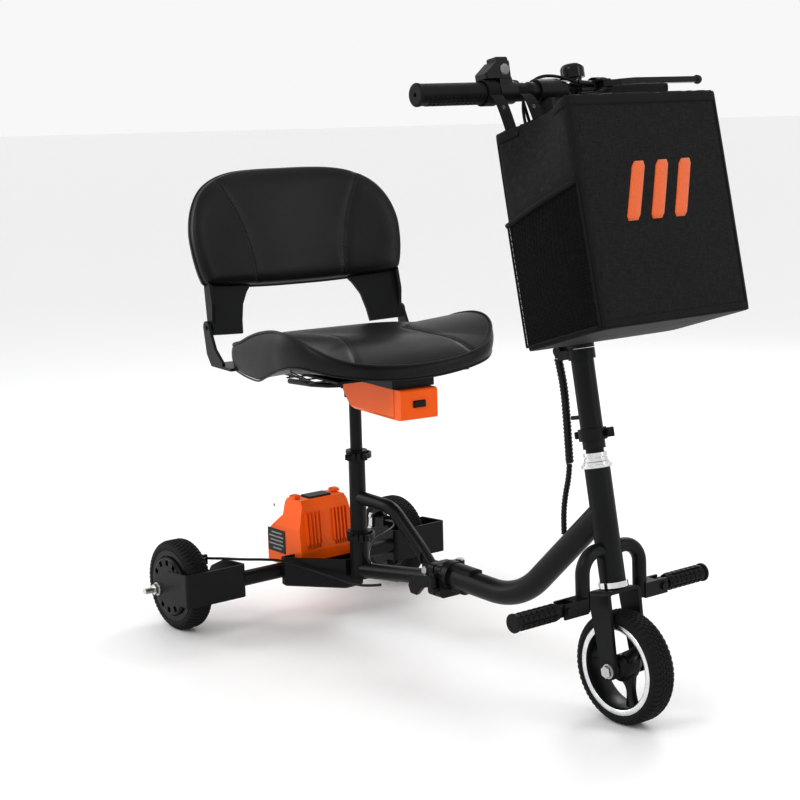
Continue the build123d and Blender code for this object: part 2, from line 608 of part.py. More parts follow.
def bell_lever():
    disc = rod_z(0, 62, 13, BAR_Z + 15.5, BAR_Z + 18.5) - rod_z(0, 62, 5 + FIT, BAR_Z, BAR_Z + 30)
    return disc + block((-4, 4), (32, 51), (BAR_Z + 15.5, BAR_Z + 18))


BAG_SIDE = [(40, 815), (48, 499), BAG_TOE, (203, 844)]
BAG_INSIDE = [(43, 860), (51, 502.5), (210.5, 519), (200, 860)]


def bag():
    """An open-topped fabric bag that hangs in front of the stem."""
    outer = plate_xz(BAG_SIDE, -154, 154)
    outer = fillet(outer.edges().filter_by(Axis.Y, reverse=True).filter_by(
        lambda edge: abs(edge.tangent_at(0.5).Z) > 0.9), 16)
    inner = plate_xz(BAG_INSIDE, -151, 151)
    inner = fillet(inner.edges().filter_by(Axis.Y, reverse=True).filter_by(
        lambda edge: abs(edge.tangent_at(0.5).Z) > 0.9), 13)
    return outer - inner


def make_steering():
    save("fork", *steer(fork()))
    save("front_axle", *steer(front_axle()))
    save("headset_nuts", *steer(headset_nuts()))
    save("stem_tube", *steer(lower_stem()))
    save("stem_upper", *steer(upper_stem()))
    save("handlebar", *steer(handlebar()))
    save("grip_left", *steer(grip()))
    save("throttle_grip", *steer(throttle_grip()))
    save("control_pod", *steer(control_pod()))
    save("horn_button", *steer(rod((-17, -90, 918), (-9, -90, 918), 6)))
    save("brake_perch", *steer(brake_perch()))
    save("brake_lever", *steer(brake_lever()))
    save("bell", *steer(bell()))
    save("bell_lever", *steer(bell_lever()))
    save("bag", *steer(bag()))


# ---- cables ----
CABLE_R = 2.4


def make_cables():
    """Cables held by the machine, along their real routes."""
    from_lever = [(17, 53, 895), (6, 28, 909), (-15, -4, 912), (-34, -20, 882), (-34, -18, 830),
                  (-30, -10, 770), (-31, -6, 710), (-30, -5, 650), (-33, -5, 590), (-46, -5, 545),
                  (-54, -4, 512), (-53, -3.5, 481)]
    from_pod = [(-4, -67, 903), (-18, -36, 911), (-33, -19, 884), (-36, -6, 840), (-33, 3, 792),
                (-30, 4, 742), (-32, 5, 688), (-30, 5, 632), (-36, 4, 580), (-48, 4, 540),
                (-54, 3.5, 508), (-53, 3.5, 481)]
    pair = [cable("from_lever", from_lever, CABLE_R), cable("from_pod", from_pod, CABLE_R)]
    save("control_cables", *steer(*pair))
    upper = [(-53, 0, 480), (-50, 0, 455), (-50, 0.5, 425), (-53, 0, 385), (-57, 0, 345), (-60, 0, 318)]
    save("harness_upper", *steer(cable("harness_upper", upper, 7)))
    lower = [(-61, 0, 316), (-66, 0, 296), (-80, 0, 268), (-91, 0, 236), (-95, 0, 206)]
    save("harness_lower", *steer(cable("harness_lower", lower, 5)))
    plate_y = -TRACK_HALF + DRUM_REACH + GAP + 7
    right = [(26.5, plate_y, 129), (46, -206, 132), (72, -196, 135), (98, -174, 134), (114, -140, 131),
             (123, -104, 124), (142, -80, 112), (170, -58, 102), (204, -42, 95), (240, -33, 90),
             (276, -27, 92), (306, -19, 99)]
    left = [(x, -y, z) for x, y, z in right]
    save("rear_cables", cable("rear_right", right, CABLE_R), cable("rear_left", left, CABLE_R))


# ---- seat ----
def seat_post():
    post = rod_z(SEAT_X, 0, POST_R, 215, 478) - rod_z(SEAT_X, 0, POST_R - 2, 210, 470)
    for step in range(5):
        post -= rod_y(SEAT_X - 8, 345 + step * 22, 2.5, -3, 3) & block((200, 216), (-4, 4), (300, 500))
    return post


def seat_pan():
    """Swivel sleeve, pan plate and the two side arms that carry the backrest."""
    sleeve = rod_z(SEAT_X, 0, 19, 428, PAN_Z) - rod_z(SEAT_X, 0, POST_R + FIT, 400, 479)
    plate = block((140, 400), (-130, 130), (PAN_Z, PAN_Z + 4))
    rib = plate_xz([(150, PAN_Z), (206, 440), (234, 440), (246, PAN_Z)], -14, -10)
    ribs = rib + left_of(rib) - rod_z(SEAT_X, 0, 18, 420, 500)
    cross = block((60, 142), (-206, 206), (PAN_Z - 2, PAN_Z + 3))
    x, z = BACK_HINGE
    outline = [(60, PAN_Z - 2), (108, PAN_Z - 2), (108, PAN_Z + 8), (76, 516), (x + 12, z), (x - 12, z),
               (42, 504)]
    arm = plate_xz(outline, -206, -200.5) + rod_y(x, z, 12, -206, -200.5)
    side = arm + rod_y(x, z, 4, -208, -188)
    return sleeve + ribs + plate + cross + side + left_of(side)


CUSHION_PLAN = [(90, 0), (90, 90), (93, 130), (103, 165), (124, 190), (150, 198), (225, SEAT_HALF),
                (300, SEAT_HALF), (347, 196), (374, 190), (400, 180), (421, 162), (434, 138), (441, 111),
                (444, 83), (446, 0)]
CUSHION_SIDE = [(80, 490.5), (80, 532), (147, 533), (205, 552), (266, 567), (315, 573), (355, 572),
                (390, 563), (425, 545), (450, 518), (450, 497), (430, 490.5)]


def seat_cushion():
    """Saddle-shaped cushion: dished across, with raised sides and a rolled front."""
    plan = Polyline(*CUSHION_PLAN, *[(x, -y) for x, y in CUSHION_PLAN[-2:0:-1]], close=True)
    dish = [(0, 544), (80, 545), (140, 552), (180, 568), (SEAT_HALF, 578), (SEAT_HALF + 2, 512), (150, 490.5)]
    section = Polyline(*dish, *[(-y, z) for y, z in dish[:0:-1]], close=True)
    body = extrude(Plane.YZ * make_face(section), amount=500)
    body &= plate_xz(CUSHION_SIDE, -220, 220)
    return body & Pos(0, 0, 480) * extrude(make_face(plan), amount=110)


def battery():
    """Sliding battery pack, wedge-shaped below, with a black nose at its front."""
    side = [(246, 471), (246, 446), (276, 417), (418, 417), (424, 424), (424, 471)]
    pack = plate_xz(side, -37, 37)
    nose = fillet(block((424, 447), (-36, 36), (419, 471)).edges().filter_by(Axis.Y).group_by(Axis.X)[-1], 6)
    pack = chamfer(pack.edges().filter_by(Axis.X).group_by(Axis.Z)[0], 6)
    return pack + nose - block((435, 450), (-12, 12), (440, 452))


BACK_DEPTH, BACK_FACE, BACK_R = 38, 44, 709   # padded back: thickness, front face at the middle, curvature
BACK_EDGE = [(0, 843), (60, 842), (108, 837), (148, 824), (180, 802), (203, 768), (213, 728), (213, 690),
             (209, 660), (203, 636), (194, 625.5), (120, 624), (0, 623)]
COVER_EDGE = [(198, 536), (134, 536), (131, 560), (124, 590), (112, 612), (92, 636), (198, 636)]


def curved_sheet(outline, front, back):
    """A sheet bent round the rider, cut to an outline in Y and Z; depths count back from the pad's face."""
    centre = BACK_FACE + BACK_R
    shell = rod_z(centre, 0, BACK_R + back, 500, 880) - rod_z(centre, 0, BACK_R + front, 500, 880)
    return shell & extrude(Plane.YZ * make_face(Polyline(*outline, close=True)), amount=130, both=True)


def backrest_pad():
    """A padded back, curved round the rider, with large upper corners."""
    return curved_sheet(BACK_EDGE + [(-y, z) for y, z in BACK_EDGE[-2:0:-1]], 0, BACK_DEPTH)


def backrest_bracket():
    """Right side of the backrest's hinge: a wide bent cover and its cheek, under the pad's corner."""
    x, z = BACK_HINGE
    cover = curved_sheet([(-y, height) for y, height in COVER_EDGE], 14, 20)
    cheek = plate_xz([(x - 10, z - 6), (x + 10, z - 6), (68, 590), (68, 636), (46, 636)], -198, -192)
    bracket = cover + cheek + rod_y(x, z, 11, -198, -190)
    return bracket - rod_y(x, z, 4 + FIT, -220, -180) - backrest_pad()


def swivel_lever():
    grip = bent_tube([(222, -24, 452), (200, -42, 450), (160, -56, 448), (86, -62, 445)], 20, 5)
    return rod_y(222, 452, 7, -27, -19.5) + grip


def make_seat():
    save("seat_post", seat_post())
    save("seat_pan", *swivel(seat_pan()))
    save("seat_cushion", *swivel(seat_cushion()))
    save("battery_dock", *swivel(block((248, 428), (-41, 41), (471.5 + GAP, PAN_Z))))
    save("battery", *swivel(battery()))
    save("battery_latch", *swivel(block((441, 450), (-11, 11), (441, 451))))
    save("swivel_lever", *swivel(swivel_lever()))
    x, z = BACK_HINGE
    lean = Pos(x, 0, z) * Rot(0, -BACK_TILT, 0) * Pos(-x, 0, -z)
    save("backrest_pad", *swivel(lean * backrest_pad()))
    save("backrest_brackets", *swivel(*[lean * side for side in both_sides(backrest_bracket())]))


os.makedirs("parts", exist_ok=True)
make_wheels()
make_rear_frame()
make_clamps()
make_front_frame()
make_steering()
make_cables()
make_seat()
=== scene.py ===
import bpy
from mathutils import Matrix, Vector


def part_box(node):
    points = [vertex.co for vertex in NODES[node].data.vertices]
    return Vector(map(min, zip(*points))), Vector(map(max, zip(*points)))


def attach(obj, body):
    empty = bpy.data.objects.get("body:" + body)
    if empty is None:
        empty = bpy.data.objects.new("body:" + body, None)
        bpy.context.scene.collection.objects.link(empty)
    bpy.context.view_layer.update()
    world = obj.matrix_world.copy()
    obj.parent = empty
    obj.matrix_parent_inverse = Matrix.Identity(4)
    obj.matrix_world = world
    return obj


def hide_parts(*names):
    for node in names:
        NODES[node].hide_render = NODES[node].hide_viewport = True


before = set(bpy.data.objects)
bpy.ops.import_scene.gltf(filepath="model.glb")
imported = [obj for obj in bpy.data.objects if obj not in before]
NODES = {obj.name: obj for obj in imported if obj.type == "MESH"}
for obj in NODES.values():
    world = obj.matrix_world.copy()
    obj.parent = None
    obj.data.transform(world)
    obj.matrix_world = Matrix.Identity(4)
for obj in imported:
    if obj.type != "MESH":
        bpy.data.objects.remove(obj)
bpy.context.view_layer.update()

import math
import bpy
import bmesh
from mathutils import Matrix, Vector
from mathutils.bvhtree import BVHTree
from mathutils.kdtree import KDTree

# ---- places: rear-axle millimetres and steering-axis millimetres, turned into row-frame metres ----
low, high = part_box("rear_axles")
AXLE_X = (low[0] + high[0]) / 2 * 1000
WHEELBASE, FRONT_R, RAKE = 893.0, 88.0, math.radians(10.6)


def W(x, y, z):
    """Rear-axle millimetres to metres."""
    return Vector(((x + AXLE_X) / 1000, y / 1000, z / 1000))


def S(x, y, z):
    """Steering-axis millimetres (origin at the front axle) to metres."""
    c, s = math.cos(RAKE), math.sin(RAKE)
    return W(WHEELBASE + x * c - z * s, y, FRONT_R + x * s + z * c)


SEAT_X, SEAT_TURN = 220.0, math.radians(-8)


def T(x, y, z):
    """Seat millimetres (straight ahead, before the swivel) to metres."""
    c, s = math.cos(SEAT_TURN), math.sin(SEAT_TURN)
    return W(SEAT_X + (x - SEAT_X) * c - y * s, (x - SEAT_X) * s + y * c, z)


# ---- materials ----
class Shader:
    """A Principled material built from nodes; constants sit on the shader's own sockets."""

    def __init__(self, name, color, rough, metallic=0.0, **sockets):
        self.mat = bpy.data.materials.new(name)
        self.mat.use_nodes = True
        self.tree = self.mat.node_tree
        self.bsdf = self.tree.nodes["Principled BSDF"]
        self.bsdf.inputs["Base Color"].default_value = (*color, 1)
        self.bsdf.inputs["Roughness"].default_value = rough
        self.bsdf.inputs["Metallic"].default_value = metallic
        for key, value in sockets.items():
            self.bsdf.inputs[key.replace("_", " ")].default_value = value
        self.coord = self.node("ShaderNodeTexCoord").outputs["Object"]
        self.normal = None

    def node(self, kind, **props):
        n = self.tree.nodes.new(kind)
        for key, value in props.items():
            setattr(n, key, value)
        return n

    def link(self, a, b):
        self.tree.links.new(a, b)

    def noise(self, scale, detail=2.0, rough=0.5, stretch=None):
        n = self.node("ShaderNodeTexNoise")
        n.inputs["Scale"].default_value = scale
        n.inputs["Detail"].default_value = detail
        n.inputs["Roughness"].default_value = rough
        source = self.coord
        if stretch:
            m = self.node("ShaderNodeMapping")
            m.inputs["Scale"].default_value = stretch
            self.link(self.coord, m.inputs["Vector"])
            source = m.outputs["Vector"]
        self.link(source, n.inputs["Vector"])
        return n.outputs["Fac"]

    def wave(self, scale, axis="X", turn=(0, 0, 0), distort=0.0):
        n = self.node("ShaderNodeTexWave", bands_direction=axis)
        n.inputs["Scale"].default_value = scale
        n.inputs["Distortion"].default_value = distort
        m = self.node("ShaderNodeMapping")
        m.inputs["Rotation"].default_value = turn
        self.link(self.coord, m.inputs["Vector"])
        self.link(m.outputs["Vector"], n.inputs["Vector"])
        return n.outputs["Fac"]

    def cells(self, scale, feature="F1"):
        n = self.node("ShaderNodeTexVoronoi", feature=feature)
        n.inputs["Scale"].default_value = scale
        self.link(self.coord, n.inputs["Vector"])
        return n.outputs["Distance"]

    def ramp(self, source, stops):
        n = self.node("ShaderNodeValToRGB")
        n.color_ramp.elements[0].position = stops[0][0]
        n.color_ramp.elements[0].color = (*stops[0][1], 1)
        n.color_ramp.elements[1].position = stops[-1][0]
        n.color_ramp.elements[1].color = (*stops[-1][1], 1)
        for position, color in stops[1:-1]:
            n.color_ramp.elements.new(position).color = (*color, 1)
        self.link(source, n.inputs["Fac"])
        return n.outputs["Color"]

    def color(self, source, stops):
        self.link(self.ramp(source, stops), self.bsdf.inputs["Base Color"])
        return self

    def rough(self, source, lo, hi):
        n = self.node("ShaderNodeMapRange")
        n.inputs["To Min"].default_value = lo
        n.inputs["To Max"].default_value = hi
        self.link(source, n.inputs["Value"])
        self.link(n.outputs["Result"], self.bsdf.inputs["Roughness"])
        return self

    def mix(self, a, b, how="MULTIPLY"):
        n = self.node("ShaderNodeMath", operation=how)
        self.link(a, n.inputs[0])
        self.link(b, n.inputs[1])
        return n.outputs["Value"]

    def soften(self, radius):
        """Rounds the look of machined or moulded edges."""
        n = self.node("ShaderNodeBevel", samples=4)
        n.inputs["Radius"].default_value = radius
        self.normal = n.outputs["Normal"]
        self.link(self.normal, self.bsdf.inputs["Normal"])
        return self

    def bump(self, height, strength, distance):
        n = self.node("ShaderNodeBump")
        n.inputs["Strength"].default_value = strength
        n.inputs["Distance"].default_value = distance
        self.link(height, n.inputs["Height"])
        if self.normal:
            self.link(self.normal, n.inputs["Normal"])
        self.normal = n.outputs["Normal"]
        self.link(self.normal, self.bsdf.inputs["Normal"])
        return self


def gray(value, tint=(1, 1, 1)):
    return tuple(value * t for t in tint)


COOL = (0.95, 1.0, 1.08)


def paint(name, base, rough):
    m = Shader(name, gray(base, COOL), rough, Specular_IOR_Level=0.25).soften(0.0007)
    m.color(m.noise(14, 4), [(0.3, gray(base * 0.85, COOL)), (0.7, gray(base * 1.2, COOL))])
    m.rough(m.noise(160, 3), rough - 0.06, rough + 0.07)
    m.bump(m.noise(1100, 2), 0.10, 0.0002)
    return m.mat


def metal(name, base, rough, brushed=False):
    m = Shader(name, base, rough, 1.0).soften(0.0005)
    m.color(m.noise(60, 3), [(0.3, gray(0.86, base)), (0.7, base)])
    m.rough(m.noise(90, 3), rough - 0.05, rough + 0.08)
    if brushed:
        m.bump(m.noise(120, 3, 0.6, (1, 40, 1)), 0.12, 0.0002)
    else:
        m.bump(m.noise(500, 2), 0.05, 0.0002)
    return m.mat


def plastic(name, color, rough, grain=0.12):
    m = Shader(name, color, rough, Specular_IOR_Level=0.32).soften(0.0009)
    m.color(m.noise(9, 3), [(0.3, gray(0.93, color)), (0.7, tuple(min(1, c * 1.05) for c in color))])
    m.rough(m.noise(120, 3), rough - 0.05, rough + 0.07)
    m.bump(m.noise(1500, 2), grain, 0.0002)
    return m.mat


def make_vinyl():
    m = Shader("vinyl", gray(0.006), 0.34, Specular_IOR_Level=0.32)
    m.color(m.noise(20, 4), [(0.3, gray(0.006)), (0.7, gray(0.010))])
    m.rough(m.noise(260, 3), 0.30, 0.44)
    m.bump(m.noise(28, 2), 0.10, 0.0020)
    m.bump(m.cells(620), 0.20, 0.0003)
    m.bump(m.noise(1600, 2), 0.10, 0.0002)
    return m.mat


def make_nylon(name, base):
    """Woven nylon: uneven threads in three directions, so that every face of the bag shows a weave."""
    m = Shader(name, gray(base), 0.58, Specular_IOR_Level=0.15, Sheen_Weight=0.03, Sheen_Roughness=0.4)
    weft = m.noise(700, 1, 0.5, (1, 0.12, 1))
    warp = m.noise(700, 1, 0.5, (0.12, 1, 0.12))
    threads = m.mix(weft, warp, "MAXIMUM")
    m.color(threads, [(0.35, gray(base * 0.6)), (0.75, gray(base * 2.2))])
    m.rough(m.noise(300, 2), 0.50, 0.68)
    m.bump(m.noise(14, 3), 0.30, 0.006)
    m.bump(threads, 0.35, 0.0005)
    return m.mat


def make_webbing():
    """Herringbone tape."""
    m = Shader("webbing", gray(0.010), 0.6, Specular_IOR_Level=0.15, Sheen_Weight=0.03)
    one = m.wave(420, "DIAGONAL", (0, RAKE, 0))
    other = m.wave(420, "DIAGONAL", (0, RAKE, math.pi / 2))
    twill = m.mix(one, other, "MAXIMUM")
    m.color(twill, [(0.2, gray(0.004)), (0.9, gray(0.016))])
    m.bump(twill, 0.5, 0.0005)
    return m.mat


def make_rubber(name, base, rough):
    m = Shader(name, gray(base), rough, Specular_IOR_Level=0.22)
    m.color(m.noise(30, 4), [(0.3, gray(base * 0.8)), (0.75, gray(base * 1.5))])
    m.rough(m.noise(200, 3), rough - 0.08, rough + 0.1)
    m.bump(m.noise(900, 3), 0.22, 0.0003)
    return m.mat


def make_thread(name, color):
    m = Shader(name, color, 0.5, Sheen_Weight=0.4)
    m.color(m.noise(700, 2), [(0.3, gray(0.7, color)), (0.7, color)])
    m.bump(m.wave(700, "DIAGONAL"), 0.5, 0.0004)
    return m.mat


PAINT = paint("satin_paint", 0.008, 0.36)
PAINT_MATTE = paint("matte_paint", 0.009, 0.45)
GLOSS_BLACK = plastic("gloss_black", gray(0.010), 0.14, 0.03)
BLACK_PLASTIC = plastic("black_plastic", gray(0.009), 0.42, 0.3)
GREY_PLASTIC = plastic("grey_plastic", gray(0.020), 0.45, 0.3)
ORANGE = plastic("orange_plastic", (0.90, 0.145, 0.004), 0.30, 0.10)
CHROME = metal("chrome", (0.80, 0.80, 0.81), 0.12)
ZINC = metal("zinc", (0.62, 0.62, 0.60), 0.30)
ALLOY = metal("machined_alloy", (0.83, 0.84, 0.85), 0.26, True)
BLACK_CHROME = metal("black_nickel", (0.10, 0.10, 0.105), 0.25)
CAST_BLACK = paint("cast_black", 0.009, 0.33)
TYRE = make_rubber("tyre_rubber", 0.010, 0.60)
GRIP = make_rubber("grip_rubber", 0.008, 0.48)
VINYL = make_vinyl()
NYLON = make_nylon("oxford_nylon", 0.0095)
WEBBING = make_webbing()
SHEATH = plastic("cable_sheath", gray(0.010), 0.22, 0.05)
PIPING = plastic("piping_vinyl", gray(0.014), 0.30, 0.15)
THREAD = make_thread("black_thread", gray(0.045))
ORANGE_THREAD = make_thread("orange_thread", (0.90, 0.16, 0.01))
SILVER_INK = plastic("label_silver", gray(0.35), 0.4, 0.05)
LABEL = plastic("label_black", gray(0.012), 0.35, 0.05)

def make_lens():
    m = Shader("lens", gray(0.55), 0.10, Transmission_Weight=0.5, IOR=1.45)
    m.color(m.noise(40, 2), [(0.3, gray(0.45)), (0.7, gray(0.65))])
    m.bump(m.wave(160, "Y"), 0.4, 0.0006)
    return m.mat


LENS = make_lens()

NODE_MATERIALS = {
    PAINT: ["base_tube", "seat_tube", "cross_tube", "bracket_right", "bracket_left", "tray", "main_tube", "peg_tubes",
            "stem_tube", "stem_upper", "handlebar", "seat_pan", "swivel_lever", "clamp_rings", "frame_latch",
            "base_clamp_lever", "seat_clamp_lever", "stem_clamp_lever", "seat_post"],
    PAINT_MATTE: ["fork", "backrest_brackets"],
    BLACK_PLASTIC: ["control_pod", "battery_latch", "horn_button", "brake_perch", "battery_dock"],
    GREY_PLASTIC: ["controller_module", "housing_panel"],
    GLOSS_BLACK: ["bell", "bell_lever", "brake_lever"],
    ORANGE: ["controller_housing", "housing_latch_right", "housing_latch_left", "battery"],
    ZINC: ["rear_axles", "frame_fasteners", "front_axle", "brake_arm_right", "brake_arm_left"],
    CHROME: ["headset_nuts", "headset_cups"],
    CAST_BLACK: ["hub_motor", "rim_front", "rim_rear_left", "brake_plates"],
    GRIP: ["grip_left", "throttle_grip", "footpeg_right", "footpeg_left"],
    TYRE: ["tyre_rear_right", "tyre_rear_left", "tyre_front"],
    SHEATH: ["rear_cables", "control_cables", "harness_upper", "harness_lower"],
    VINYL: ["seat_cushion", "backrest_pad"],
    NYLON: ["bag"],
}
for material, names in NODE_MATERIALS.items():
    for name in names:
        data = NODES[name].data
        data.materials.clear()
        data.materials.append(material)


# ---- mesh helpers ----
def piece(name, verts, faces, material, body, smooth=True, replaces=(), split=None):
    mesh = bpy.data.meshes.new(name)
    mesh.from_pydata([tuple(v) for v in verts], [], faces)
    mesh.validate()
    bm = bmesh.new()
    bm.from_mesh(mesh)
    bmesh.ops.recalc_face_normals(bm, faces=bm.faces)
    bm.to_mesh(mesh)
    bm.free()
    obj = bpy.data.objects.new(name, mesh)
    bpy.context.scene.collection.objects.link(obj)
    mesh.materials.append(material)
    if smooth:
        for polygon in mesh.polygons:
            polygon.use_smooth = True
    if split:
        mod = obj.modifiers.new("edges", "EDGE_SPLIT")
        mod.split_angle = math.radians(split)
    finish_piece(obj, body, replaces)
    return obj


def finish_piece(obj, body, replaces=()):
    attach(obj, body)
    if replaces:
        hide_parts(*replaces)


def rings_mesh(rings, closed=True, cap_start=True, cap_end=True):
    """Verts and faces from rings of equal count."""
    count = len(rings[0])
    verts = [v for ring in rings for v in ring]
    faces = []
    for i in range(len(rings) - 1):
        for j in range(count if closed else count - 1):
            k = (j + 1) % count
            faces.append((i * count + j, i * count + k, (i + 1) * count + k, (i + 1) * count + j))
    if cap_start:
        faces.append(tuple(range(count))[::-1])
    if cap_end:
        faces.append(tuple((len(rings) - 1) * count + j for j in range(count)))
    return verts, faces


def join(parts):
    """Merges (verts, faces) lists."""
    verts, faces = [], []
    for v, f in parts:
        base = len(verts)
        verts += v
        faces += [tuple(i + base for i in face) for face in f]
    return verts, faces


def frame_at(direction):
    z = Vector(direction).normalized()
    x = z.cross(Vector((0, 0, 1)) if abs(z.z) < 0.9 else Vector((1, 0, 0))).normalized()
    return x, z.cross(x), z


def turned(start, axis, profile, count=32, caps=True):
    """A body turned about an axis in metres: profile is a list of (distance along, radius)."""
    x, y, z = frame_at(axis)
    rings = []
    for along, radius in profile:
        rings.append([Vector(start) + z * along + (x * math.cos(t) + y * math.sin(t)) * radius
                      for t in (math.tau * i / count for i in range(count))])
    return rings_mesh(rings, True, caps, caps)


def box_part(centre, size, axes=None, bevel=0.0):
    """A chamfered block; axes are three unit vectors."""
    axes = axes or (Vector((1, 0, 0)), Vector((0, 1, 0)), Vector((0, 0, 1)))
    hx, hy, hz = (s / 2 for s in size)
    b = min(bevel, hx * 0.9, hy * 0.9, hz * 0.9)
    rings = []
    for z, inset in ((-hz, b), (-hz + b, 0), (hz - b, 0), (hz, b)) if b else ((-hz, 0), (hz, 0)):
        ex, ey = hx - inset, hy - inset
        pts = [(-ex + b, -ey), (ex - b, -ey), (ex, -ey + b), (ex, ey - b), (ex - b, ey), (-ex + b, ey),
               (-ex, ey - b), (-ex, -ey + b)] if b else [(-ex, -ey), (ex, -ey), (ex, ey), (-ex, ey)]
        rings.append([Vector(centre) + axes[0] * px + axes[1] * py + axes[2] * z for px, py in pts])
    return rings_mesh(rings)


def spline(points, step):
    """Catmull-Rom samples through points, about step apart."""
    pts = [Vector(p) for p in points]
    pts = [pts[0] * 2 - pts[1]] + pts + [pts[-1] * 2 - pts[-2]]
    out = []
    for a, b, c, d in zip(pts, pts[1:], pts[2:], pts[3:]):
        n = max(1, round((c - b).length / step))
        for i in range(n):
            t = i / n
            out.append(0.5 * ((2 * b) + (c - a) * t + (2 * a - 5 * b + 4 * c - d) * t * t
                              + (3 * b - a - 3 * c + d) * t ** 3))
    out.append(pts[-2])
    return out


def path_frames(points, up=None):
    frames, previous = [], None
    for i, p in enumerate(points):
        t = (points[min(i + 1, len(points) - 1)] - points[max(i - 1, 0)]).normalized()
        if previous is None:
            previous = frame_at(t)[0] if up is None else Vector(up)
        n = (previous - t * previous.dot(t)).normalized()
        frames.append((p, t, n, t.cross(n)))
        previous = n
    return frames


def tube_part(points, radius, count=10, closed=False):
    rings = []
    for p, t, n, b in path_frames([Vector(q) for q in points]):
        rings.append([p + (n * math.cos(a) + b * math.sin(a)) * radius
                      for a in (math.tau * i / count for i in range(count))])
    if closed:
        rings.append(rings[0])
        return rings_mesh(rings, True, False, False)
    return rings_mesh(rings)


def curve_piece(name, points, radius, material, body, replaces=()):
    """A smooth cord on one NURBS spline."""
    data = bpy.data.curves.new(name, "CURVE")
    data.dimensions = "3D"
    data.bevel_depth = radius
    data.bevel_resolution = 4
    data.resolution_u = 8
    data.use_fill_caps = True
    line = data.splines.new("NURBS")
    line.points.add(len(points) - 1)
    for knot, p in zip(line.points, points):
        knot.co = (*p, 1)
    line.use_endpoint_u = True
    line.order_u = 3
    obj = bpy.data.objects.new(name, data)
    bpy.context.scene.collection.objects.link(obj)
    data.materials.append(material)
    finish_piece(obj, body, replaces)
    return obj


def smooth_line(points):
    """Points read from the cord's own NURBS spline."""
    data = bpy.data.curves.new("guide", "CURVE")
    data.dimensions = "3D"
    line = data.splines.new("NURBS")
    line.points.add(len(points) - 1)
    for knot, p in zip(line.points, points):
        knot.co = (*p, 1)
    line.use_endpoint_u = True
    line.order_u = 3
    line.resolution_u = 12
    obj = bpy.data.objects.new("guide", data)
    mesh = bpy.data.meshes.new_from_object(obj)
    out = [v.co.copy() for v in mesh.vertices]
    bpy.data.meshes.remove(mesh)
    bpy.data.objects.remove(obj)
    bpy.data.curves.remove(data)
    return out


def inflate(obj, pinned, cap, pressure=4.0):
    """Swells a padded mesh with Cloth; pinned vertices stay, and no point moves further than cap metres."""
    start = [v.co.copy() for v in obj.data.vertices]
    group = obj.vertex_groups.new(name="pin")
    group.add(pinned, 1.0, "REPLACE")
    mod = obj.modifiers.new("cloth", "CLOTH")
    settings = mod.settings
    settings.quality = 6
    settings.mass = 0.3
    settings.tension_stiffness = 25
    settings.compression_stiffness = 25
    settings.bending_stiffness = 2.0
    settings.use_pressure = True
    settings.uniform_pressure_force = pressure
    settings.vertex_group_mass = "pin"
    settings.effector_weights.gravity = 0
    mod.collision_settings.use_collision = False
    scene = bpy.context.scene
    for number in range(1, 21):
        scene.frame_set(number)
    evaluated = obj.evaluated_get(bpy.context.evaluated_depsgraph_get())
    moved = [v.co.copy() for v in evaluated.data.vertices]
    obj.modifiers.remove(mod)
    obj.vertex_groups.remove(group)
    steps = [b - a for a, b in zip(start, moved)]
    joined = [[] for _ in steps]
    for edge in obj.data.edges:
        joined[edge.vertices[0]].append(edge.vertices[1])
        joined[edge.vertices[1]].append(edge.vertices[0])
    held = set(pinned)
    for _ in range(60):
        steps = [
            Vector() if i in held else (steps[i] + sum((steps[k] for k in near), Vector())) / (len(near) + 1)
            for i, near in enumerate(joined)
        ]
    for v, a, step in zip(obj.data.vertices, start, steps):
        if step.length > cap:
            step *= cap / step.length
        v.co = a + step
    scene.frame_set(1)


def refined(obj):
    """Splits every face once, smoothly, in the mesh itself."""
    subdivided(obj, 1)
    finer = bpy.data.meshes.new_from_object(obj.evaluated_get(bpy.context.evaluated_depsgraph_get()))
    obj.modifiers.clear()
    old = obj.data
    obj.data = finer
    bpy.data.meshes.remove(old)


def subdivided(obj, levels=1):
    mod = obj.modifiers.new("smooth", "SUBSURF")
    mod.levels = levels
    mod.render_levels = levels


def interpolate(table, x):
    """Piecewise-linear look-up in (key, value) rows."""
    if x <= table[0][0]:
        return table[0][1]
    for (a, va), (b, vb) in zip(table, table[1:]):
        if x <= b:
            return va + (vb - va) * (x - a) / (b - a)
    return table[-1][1]


def stitches(points, normals, pitch=0.0034, length=0.0022, radius=0.00035):
    """Short raised threads along a line that lies on a surface."""
    parts, travelled, last = [], 0.0, points[0]
    for i in range(1, len(points)):
        travelled += (points[i] - last).length
        last = points[i]
        if travelled >= pitch:
            travelled = 0.0
            t = (points[i] - points[i - 1]).normalized()
            n = normals[i].normalized()
            b = t.cross(n)
            mid = points[i] + n * radius * 0.5
            ring = []
            for along, size in ((-0.5, 0.3), (-0.3, 1.0), (0.3, 1.0), (0.5, 0.3)):
                ring.append([mid + t * length * along + (b * math.cos(a) + n * math.sin(a)) * radius * size
                             for a in (math.tau * k / 5 for k in range(5))])
            parts.append(rings_mesh(ring))
    return parts


def on_surface(tree, points, lift=0.0):
    """Points moved onto the nearest surface, with its normals."""
    placed, normals = [], []
    for p in points:
        hit, normal, _, _ = tree.find_nearest(p)
        placed.append(hit + normal * lift)
        normals.append(normal)
    return placed, normals


def surface_tree(obj):
    graph = bpy.context.evaluated_depsgraph_get()
    graph.update()
    return BVHTree.FromObject(obj, graph)


